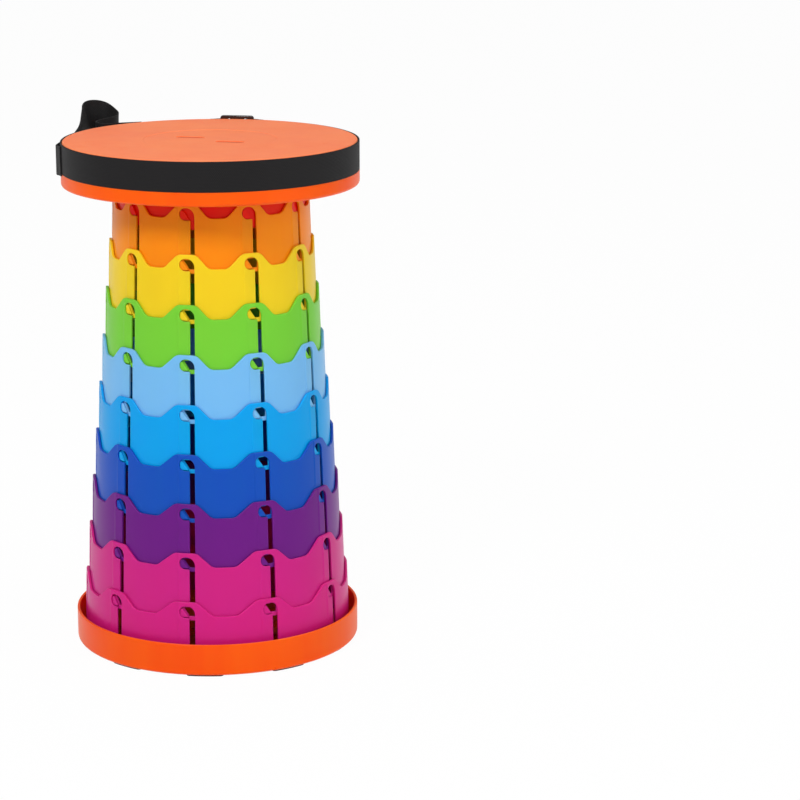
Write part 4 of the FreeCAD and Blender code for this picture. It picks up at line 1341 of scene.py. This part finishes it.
@dataclass
class CarryLoop:
    """The loop of webbing at the back of the seat. Its line is a spline through open air."""

    ribbon: Ribbon = field(default_factory=Ribbon)
    radius: float = 125.7 * MM
    middle: float = 420.2 * MM
    lean: float = 11.0
    lean_rise: float = 0.42
    lean_fall: float = 0.6
    lean_span: float = 0.12
    sewn_start: tuple[tuple[float, float, float], ...] = (
        (118.5, 0.2, 0.0),
        (122.0, 0.4, 0.0),
        (127.0, 1.0, 0.0),
        (132.0, 1.6, -0.2),
    )
    bow: tuple[tuple[float, float, float], ...] = (
        (-93.5, 87.0, 2.0),
        (-100.0, 95.0, 3.0),
        (-93.0, 104.0, 4.0),
        (-82.0, 112.0, 5.0),
        (-79.5, 126.0, 6.0),
        (-88.0, 136.0, 11.0),
        (-98.0, 139.0, 16.2),
        (-108.0, 132.0, 16.4),
        (-109.0, 114.0, 9.0),
        (-109.5, 88.0, 1.0),
        (-115.0, 66.0, -2.6),
    )
    sewn_end: tuple[tuple[float, float, float], ...] = (
        (159.0, -3.0, 0.2),
        (164.0, -3.0, 0.0),
        (170.0, -2.6, 0.0),
        (176.0, -2.4, 0.2),
        (183.0, -2.6, 3.0),
        (188.0, -1.6, 0.5),
        (191.0, -1.2, 0.1),
    )

    def line(self) -> list[Vector]:
        """The points that the loop's middle follows, read from its spline."""
        points = [self.on_rim(*point) for point in self.sewn_start]
        points += [Vector((x * MM, y * MM, self.middle + rise * MM)) for x, y, rise in self.bow]
        points += [self.on_rim(*point) for point in self.sewn_end]
        curve = bpy.data.curves.new("carry_loop_line", "CURVE")
        curve.dimensions = "3D"
        curve.resolution_u = 12
        spline = curve.splines.new("NURBS")
        spline.points.add(len(points) - 1)
        for point, place in zip(spline.points, points):
            point.co = (*place, 1.0)
        spline.order_u = 3
        spline.use_endpoint_u = True
        thing = bpy.data.objects.new("carry_loop_line", curve)
        bpy.context.scene.collection.objects.link(thing)
        depsgraph = bpy.context.evaluated_depsgraph_get()
        read = bpy.data.meshes.new_from_object(thing.evaluated_get(depsgraph), depsgraph=depsgraph)
        places = [vert.co.copy() for vert in read.vertices]
        bpy.data.meshes.remove(read)
        bpy.data.objects.remove(thing)
        bpy.data.curves.remove(curve)
        return places

    def on_rim(self, turn: float, rise: float, out: float) -> Vector:
        """A point beside the band: its turn round the seat, and its rise and distance in mm."""
        return polar(self.radius + out * MM, turn, self.middle + rise * MM)

    def build(self, material: bpy.types.Material) -> tuple[bpy.types.Object, list[Vector]]:
        """Build the loop.

        Args:
            material: The webbing's finish.

        Returns:
            The loop and the points that its middle follows.
        """
        line = self.line()
        leans = []
        for i in range(len(line)):
            share = i / (len(line) - 1)
            rise = smooth((share - self.lean_rise) / self.lean_span)
            fall = smooth((share - self.lean_fall) / self.lean_span)
            leans.append(self.lean * rise * (1 - fall))
        thing = new_object("carry_strap_loop", self.ribbon.sweep(line, leans))
        thing.data.materials.append(material)
        return soften(thing), line


@dataclass
class StrapBuckle:
    """The three-bar slider, bent to the seat's round."""

    width: float = 30.0 * MM
    height: float = 31.0 * MM
    foot: float = 404.7 * MM
    inner_radius: float = 125.1 * MM
    thickness: float = 2.5 * MM
    edge: float = 0.7 * MM
    corner: float = 2.6 * MM
    middle_bar: float = 12.0 * MM
    slot_width: float = 4.0 * MM
    slot_height: float = 25.4 * MM
    slot_corner: float = 1.2 * MM
    turn: float = 79.0
    strips: int = 12

    def slot(self, side: Side) -> list[Point]:
        """The outline of one slot."""
        middle = side.value * (self.middle_bar + self.slot_width) / 2
        return rounded_box(self.slot_width / 2, self.slot_height / 2, self.slot_corner, middle)

    def build(self, material: bpy.types.Material) -> bpy.types.Object:
        """Build the buckle."""
        tall = self.height / 2
        outline = rounded_box(self.width / 2, tall, self.corner)
        slots = [self.slot(side) for side in Side]
        mesh = rounded_plate([outline, *slots], self.thickness, self.edge, steps=4)
        cut(mesh, [self.width * (i / self.strips - 0.5) for i in range(1, self.strips)])
        middle = self.inner_radius + self.thickness / 2

        def bent(point: Vector) -> Vector:
            """Lay the flat slider on the round of the seat."""
            turn = self.turn + math.degrees(point.x / middle)
            return polar(self.inner_radius + self.thickness - point.z, turn, self.foot + tall + point.y)

        thing = new_object("strap_slider", shape(mesh, bent))
        thing.data.materials.append(material)
        return soften(thing)


@dataclass
class LoopStitches:
    """The rows of thread that hold the loop's ends on the band."""

    turns: tuple[float, ...] = (124.0, 172.0)
    feet: tuple[float, ...] = (409.7 * MM, 421.7 * MM)
    radius: float = 126.35 * MM
    length: float = 9.0 * MM
    width: float = 1.3 * MM
    thread: float = 0.21 * MM
    pitch: float = 0.44 * MM
    lean: float = math.radians(17)
    end_thin: float = 0.4
    crown: float = 0.75
    end_sink: float = 1.6

    def single(self) -> bmesh.types.BMesh:
        """One thread across a row, its ends going down into the webbing."""
        mesh = bmesh.new()
        around, steps = 8, 9
        turns = [math.tau * j / around for j in range(around)]
        loops = []
        for i in range(steps):
            share = i / (steps - 1) * 2 - 1
            size = self.thread * (1 - abs(share) ** 6 * self.end_thin)
            lift = self.thread * (self.crown - self.end_sink * share**4)
            place = share * self.width / 2
            ring = [(lift + size * math.cos(turn), place, size * math.sin(turn)) for turn in turns]
            loops.append([mesh.verts.new(point) for point in ring])
        for before, after in zip(loops, loops[1:]):
            bridge(mesh, before, after)
        mesh.faces.new(loops[0])
        mesh.faces.new(loops[-1])
        return mesh

    def build(self, shop: Workshop, material: bpy.types.Material) -> bpy.types.Object:
        """Build every row.

        Args:
            shop: The shared patterns.
            material: The thread's finish.

        Returns:
            All the rows as one mesh.
        """
        rows = []
        for turn in self.turns:
            for foot in self.feet:
                row = new_object("row", self.single())
                count = int(self.length / self.pitch)
                shop.bar_tack.apply(
                    row, Count=count, Pitch=self.pitch, Lean=self.lean, Weld=0.001 * MM, Finish=material
                )
                mesh = bmesh.new()
                mesh.from_mesh(row.data)
                first = foot + (self.length - (count - 1) * self.pitch) / 2
                place = Matrix.Translation(polar(self.radius, turn, first))
                mesh.transform(place @ Matrix.Rotation(math.radians(turn), 4, "Z"))
                rows.append(mesh)
                bpy.data.objects.remove(row)
        thing = new_object("loop_bar_tacks", joined(rows))
        thing.data.materials.append(material)
        return soften(thing)


# Seat plate, feet and screws


def pocketed(
    mesh: bmesh.types.BMesh,
    rim: Loop,
    pockets: Sequence[Sequence[Point]],
    depth: float,
    edge: float,
) -> None:
    """Close a level face inside a rim, with pockets sunk in it.

    Args:
        mesh: The mesh that holds the rim.
        rim: The closed loop of points round the face.
        pockets: The outline of each pocket.
        depth: How deep the pockets are.
        edge: The radius that rounds their upper edges.
    """
    level = rim[0].co.z
    levels = edge_levels(edge, 3)
    levels += [(-0.3 * edge, depth - 0.3 * edge), (-0.6 * edge, depth)]
    edges = [rim]
    for outline in pockets:
        way = turned_way(outline, anticlockwise=False)
        loops = [[mesh.verts.new((*p, level - down)) for p in inset(way, out)] for out, down in levels]
        for low, high in zip(loops, loops[1:]):
            bridge(mesh, low, high)
        before = len(mesh.faces)
        fill(mesh, [loops[-1]])
        mesh.faces.ensure_lookup_table()
        # The pocket floors take the second finish; on the seat plate that finish is painted shade.
        for face in mesh.faces[before:]:
            face.material_index = 1
        edges.append(loops[0])
    fill(mesh, edges)


@dataclass
class SeatPlate:
    """The seat's top plate, with a shallow dish and two plain long marks."""

    top: float = 433.0 * MM
    radius: float = 123.4 * MM
    thickness: float = 2.5 * MM
    edge: float = 1.6 * MM
    under_edge: float = 0.5 * MM
    dish: float = 56.0 * MM
    dish_depth: float = 0.4 * MM
    dish_slope: float = 1.6 * MM
    disc: float = 50.0 * MM
    mark_length: float = 25.0 * MM
    mark_width: float = 9.0 * MM
    mark_depth: float = 0.8 * MM
    mark_edge: float = 0.35 * MM
    mark_side: float = 16.5 * MM
    mark_front: float = 14.5 * MM
    mark_turn: float = -15.0
    posts: int = 5
    post_circle: float = 71.6 * MM
    post_radius: float = 3.5 * MM
    post_bore: float = 1.3 * MM
    post_length: float = 9.0 * MM
    post_soft: float = 0.4 * MM
    edge_steps: int = 8
    segments: int = 240

    def mark(self, side: Side) -> list[Point]:
        """The outline of one long mark."""
        wide = self.mark_width / 2
        outline = rounded_box(self.mark_length / 2, wide, wide - STRAIGHT)
        turn = Matrix.Rotation(math.radians(self.mark_turn), 2)
        middle = Vector((side.value * self.mark_side, -side.value * self.mark_front))
        return [tuple(turn @ Vector(point) + middle) for point in outline]

    def profile(self) -> list[Point]:
        """Radius and height from the middle of the underside round the edge to the inner disc."""
        foot = self.top - self.thickness
        under = edge_levels(self.under_edge, self.edge_steps)
        over = edge_levels(self.edge, self.edge_steps)
        profile = [(0.0, foot)]
        profile += [(self.radius - inwards, foot + up) for inwards, up in under]
        profile += [(self.radius - inwards, self.top - down) for inwards, down in reversed(over)]
        for i in range(self.edge_steps + 1):
            share = 1 - i / self.edge_steps
            radius = self.dish + self.dish_slope * (share - 0.5)
            profile.append((radius, self.top - self.dish_depth * (1 - smooth(share))))
        profile.append((self.disc, self.top - self.dish_depth))
        return profile

    def post(self) -> bmesh.types.BMesh:
        """One hollow post under the plate."""
        top, foot = self.top - self.thickness / 2, self.top - self.thickness - self.post_length
        mesh = closed_lathe(
            [
                (self.post_bore, foot, self.post_soft),
                (self.post_radius, foot, self.post_soft),
                (self.post_radius, top, 0),
                (self.post_bore, top, 0),
            ],
            segments=32,
        )
        return shape(mesh, lambda point: point + Vector((0, -self.post_circle, 0)))

    def build(self, shop: Workshop, plate: bpy.types.Material, mark: bpy.types.Material) -> bpy.types.Object:
        """Build the plate.

        Args:
            shop: The shared patterns.
            plate: The finish of the plate, a paler orange that carries a painted sheen of reflected light.
            mark: The finish of the floors of its marks, a darker orange that paints the shade of a deep
                recess.

        Returns:
            The plate with its posts as one mesh.
        """
        posts = new_object("posts", self.post())
        shop.round_pattern.apply(
            posts, Count=self.posts, Step=math.tau / self.posts, Weld=WELD, Finish=plate
        )
        under = bmesh.new()
        under.from_mesh(posts.data)
        bpy.data.objects.remove(posts)
        mesh = lathe(self.profile(), self.segments)
        mesh.verts.ensure_lookup_table()
        rim = mesh.verts[-self.segments :]
        pocketed(mesh, rim, [self.mark(side) for side in Side], self.mark_depth, self.mark_edge)
        thing = new_object("seat_plate", joined([mesh, under]))
        thing.data.materials.append(plate)
        # The second finish, on the floors of the marks, is painted shade.
        thing.data.materials.append(mark)
        return soften(thing)


@dataclass
class RubberFeet:
    """The rubber pads under the dish."""

    count: int = 10
    turn: float = -5.8
    span: float = 15.4
    inner: float = 103.0 * MM
    outer: float = 118.0 * MM
    thickness: float = 1.5 * MM
    corner: float = 3.0 * MM
    edge: float = 0.4 * MM
    strips: int = 10

    def build(self, shop: Workshop, material: bpy.types.Material) -> bpy.types.Object:
        """Build every pad.

        Args:
            shop: The shared patterns.
            material: The rubber's finish.

        Returns:
            The pads as one mesh.
        """
        middle = (self.inner + self.outer) / 2
        long, wide = math.radians(self.span) * middle / 2, (self.outer - self.inner) / 2
        mesh = rounded_plate([rounded_box(long, wide, self.corner)], self.thickness, self.edge)
        cut(mesh, [long * (2 * i / self.strips - 1) for i in range(1, self.strips)])

        def bent(point: Vector) -> Vector:
            """Lay the straight pad round the dish."""
            return polar(middle + point.y, FRONT + self.turn + math.degrees(point.x / middle), point.z)

        thing = new_object("rubber_feet", shape(mesh, bent))
        shop.round_pattern.apply(
            thing, Count=self.count, Step=math.tau / self.count, Weld=WELD, Finish=material
        )
        return soften(thing)


@dataclass
class ScrewRound:
    """A round of screws whose heads look down."""

    name: str
    circle: float
    turn: float
    head_radius: float
    head_thick: float
    head_foot: float
    shank_radius: float
    shank_length: float
    count: int = 5
    pitch: float = 1.1 * MM
    thread_depth: float = 0.25 * MM
    head_edge: float = 0.35 * MM
    recess_depth: float = 0.8 * MM
    recess_edge: float = 0.1 * MM
    arm_share: float = 0.56
    slot_share: float = 0.15
    soft_share: float = 0.06
    segments: int = 40
    edge_steps: int = 4
    steps_a_turn: int = 7
    tip_share: float = 1.2
    tip_blunt: float = 0.25

    def recess(self) -> list[Point]:
        """The cross in the head."""
        arm, half = self.head_radius * self.arm_share, self.head_radius * self.slot_share
        corners = [(arm, half), (half, half), (half, arm), (-half, arm), (-half, half), (-arm, half)]
        corners += [(-x, -y) for x, y in corners]
        soft = self.head_radius * self.soft_share
        return rounded_outline([(x, y, soft) for x, y in corners], math.radians(45))

    def head(self) -> bmesh.types.BMesh:
        """The head, its face up at height 0."""
        profile = [(0.0, -self.head_thick), (self.head_radius, -self.head_thick)]
        levels = edge_levels(self.head_edge, self.edge_steps)
        profile += [(self.head_radius - inwards, -down) for inwards, down in reversed(levels)]
        mesh = lathe(profile, self.segments)
        mesh.verts.ensure_lookup_table()
        rim = mesh.verts[-self.segments :]
        pocketed(mesh, rim, [self.recess()], self.recess_depth, self.recess_edge)
        return mesh

    def shank(self) -> bmesh.types.BMesh:
        """The threaded shank below the head, with its point."""
        steps = int(self.shank_length / self.pitch * self.steps_a_turn)
        start = -self.head_thick
        tip = self.shank_radius * self.tip_share
        profile = [(0.0, start + 0.2 * MM)]
        for i in range(steps + 1):
            down = self.shank_length * i / steps
            share = min(1.0, (self.shank_length - down) / tip + self.tip_blunt)
            profile.append((self.shank_radius * share, start - down))
        profile.append((0.0, start - self.shank_length))

        def wound(point: Vector) -> Vector:
            """Press the thread's groove in."""
            around = math.hypot(point.x, point.y)
            if around == 0:
                return point
            phase = (point.z / self.pitch + math.atan2(point.y, point.x) / math.tau) % 1
            groove = self.thread_depth * abs(2 * phase - 1)
            share = max(around - groove, 0.1 * around) / around
            return Vector((point.x * share, point.y * share, point.z))

        return shape(lathe(profile, 20), wound)

    def build(self, shop: Workshop, material: bpy.types.Material) -> bpy.types.Object:
        """Build every screw.

        Args:
            shop: The shared patterns.
            material: The steel's finish.

        Returns:
            The screws as one mesh.
        """
        mesh = joined([self.head(), self.shank()])
        middle = polar(self.circle, FRONT + self.turn, self.head_foot)
        mesh.transform(Matrix.Translation(middle) @ Matrix.Rotation(math.pi, 4, "X"))
        thing = new_object(self.name, mesh)
        shop.round_pattern.apply(
            thing, Count=self.count, Step=math.tau / self.count, Weld=0.001 * MM, Finish=material
        )
        return soften(thing)


BASE_SCREWS = ScrewRound(
    "base_screw_round",
    circle=116.3 * MM,
    turn=12.2,
    head_radius=2.4 * MM,
    head_thick=1.5 * MM,
    head_foot=1.5 * MM,
    shank_radius=1.3 * MM,
    shank_length=11.3 * MM,
)
SEAT_SCREWS = ScrewRound(
    "seat_screw_round",
    circle=71.6 * MM,
    turn=0.0,
    head_radius=3.5 * MM,
    head_thick=2.4 * MM,
    head_foot=411.9 * MM,
    shank_radius=1.8 * MM,
    shank_length=13.6 * MM,
    pitch=1.4 * MM,
    recess_depth=1.3 * MM,
)


# Scene


@dataclass(frozen=True)
class Lamp:
    """A soft square lamp: where it stands, the length of its side and its power in watts."""

    name: str
    place: tuple[float, float, float]
    size: float
    power: float


@dataclass
class Studio:
    """The floor, the backdrop, the lamps and the camera."""

    camera_place: tuple[float, float, float] = (0.0, -2.2648, 0.7601)
    camera_pitch: float = 13.73
    camera_yaw: float = 4.02
    lens: float = 122.25
    sensor: float = 36.0
    clip_end: float = 100.0
    floor_reach: float = 30.0
    floor_share: float = 0.97
    world_strength: float = 0.34
    aim: tuple[float, float, float] = (0.0, 0.0, 0.22)
    lamps: tuple[Lamp, ...] = (
        Lamp("KeyLamp", (-1.1, -1.9, 2.0), 0.7, 38.0),
        Lamp("FillLamp", (1.8, -1.2, 1.1), 1.4, 15.0),
        Lamp("TopLamp", (0.1, 0.3, 2.4), 1.6, 18.0),
    )

    def camera(self) -> None:
        """Put the camera where the photograph was taken from."""
        data = bpy.data.cameras.new("Camera")
        data.lens = self.lens
        data.sensor_width = self.sensor
        data.clip_end = self.clip_end
        thing = bpy.data.objects.new("Camera", data)
        thing.location = self.camera_place
        thing.rotation_euler = Euler(
            (math.radians(90 - self.camera_pitch), 0, math.radians(-self.camera_yaw)), "XYZ"
        )
        bpy.context.scene.collection.objects.link(thing)
        bpy.context.scene.camera = thing

    def hang(self, lamp: Lamp) -> None:
        """Add a lamp that looks at the middle of the stool."""
        data = bpy.data.lights.new(lamp.name, "AREA")
        data.size = lamp.size
        data.energy = lamp.power
        thing = bpy.data.objects.new(lamp.name, data)
        thing.location = lamp.place
        towards = Vector(self.aim) - Vector(lamp.place)
        thing.rotation_euler = towards.to_track_quat("-Z", "Y").to_euler()
        bpy.context.scene.collection.objects.link(thing)

    def floor(self) -> None:
        """Lay a white floor that keeps the stool's shadow."""
        mesh = bmesh.new()
        bmesh.ops.create_grid(mesh, x_segments=8, y_segments=8, size=self.floor_reach)
        thing = new_object("studio_floor", mesh, closed=False)
        material, tree, shader = new_material("StudioFloor")
        feed(tree, shader, Base_Color=(0.9, 0.9, 0.9, 1.0), Roughness=0.9, Specular_IOR_Level=0.1)
        rays = tree.add("ShaderNodeLightPath").outputs
        seen = tree.maths("MAXIMUM", rays["Is Camera Ray"], rays["Is Glossy Ray"])
        seen = tree.maths("MAXIMUM", seen, rays["Is Transmission Ray"])
        share = tree.maths("MULTIPLY", seen, self.floor_share)
        glow = tree.add("ShaderNodeEmission", {"Color": (1, 1, 1, 1), "Strength": 1.0}).outputs[0]
        both = tree.add("ShaderNodeMixShader", {0: share, 1: shader.outputs[0], 2: glow})
        output = next(node for node in tree.tree.nodes if node.type == "OUTPUT_MATERIAL")
        tree.tree.links.new(both.outputs[0], output.inputs["Surface"])
        thing.data.materials.append(material)

    def world(self) -> None:
        """Light the stool evenly, with a white background."""
        world = bpy.data.worlds.new("Studio")
        world.use_nodes = True
        tree = Tree(world.node_tree)
        rays = tree.add("ShaderNodeLightPath").outputs
        seen = tree.maths("MAXIMUM", rays["Is Camera Ray"], rays["Is Transmission Ray"])
        strength = tree.maths("MULTIPLY_ADD", seen, 1 - self.world_strength, self.world_strength)
        feed(tree, world.node_tree.nodes["Background"], Color=(1, 1, 1, 1), Strength=strength)
        bpy.context.scene.world = world

    def build(self) -> None:
        """Set up the whole studio."""
        bpy.context.scene.view_settings.view_transform = "Standard"
        self.camera()
        self.floor()
        self.world()
        for lamp in self.lamps:
            self.hang(lamp)


def main() -> None:
    """Build every piece, then the studio."""
    logging.basicConfig(level=logging.INFO, format="%(name)s: %(message)s")
    Studio().build()
    shop = Workshop()
    for number, tone in enumerate(Tone, start=1):
        slot, colour = tone.value
        ring = TierRing(number)
        material = MouldedPlastic(f"Tier{number}Plastic", colour).material(shop)
        thing = ring.build(shop, material)
        body = Body.BASE.value if number == 1 else f"tier_{number}"
        mount(thing, body, [ring.node])
    shell = SHELL.material(shop)
    for node in ("base_dish", "seat_pan"):
        dress(node, shell)
    # The collar's finish is painted shade: a darker, redder copy of the shell's orange.
    dress("seat_collar", COLLAR_PAINTED_SHADE.material(shop))
    base, seat = Body.BASE.value, Body.SEAT.value
    plate = SeatPlate().build(shop, SEAT_PLATE_PAINTED_SHEEN.material(shop), SEAT_MARK_PAINTED_SHADE.material(shop))
    mount(plate, seat, ["seat_cover"])
    feet = RubberFeet().build(shop, FOOT_RUBBER.material(shop))
    mount(feet, base, ["base_feet"])
    steel = SCREW_STEEL.material(shop)
    mount(BASE_SCREWS.build(shop, steel), base, ["base_screws"])
    mount(SEAT_SCREWS.build(shop, steel), seat, ["seat_screws"])
    webbing = BLACK_WEBBING.material(shop)
    mount(StrapBand().build(webbing), seat, ["strap_band"])
    loop, line = CarryLoop().build(webbing)
    mount(loop, seat, ["carry_loop"])
    mount(StrapBuckle().build(DARK_BUCKLE.material(shop)), seat, ["strap_buckle"])
    stitches = LoopStitches().build(shop, WHITE_THREAD.material(shop))
    mount(stitches, seat, ["strap_stitches"])


if __name__ == "__main__":
    main()
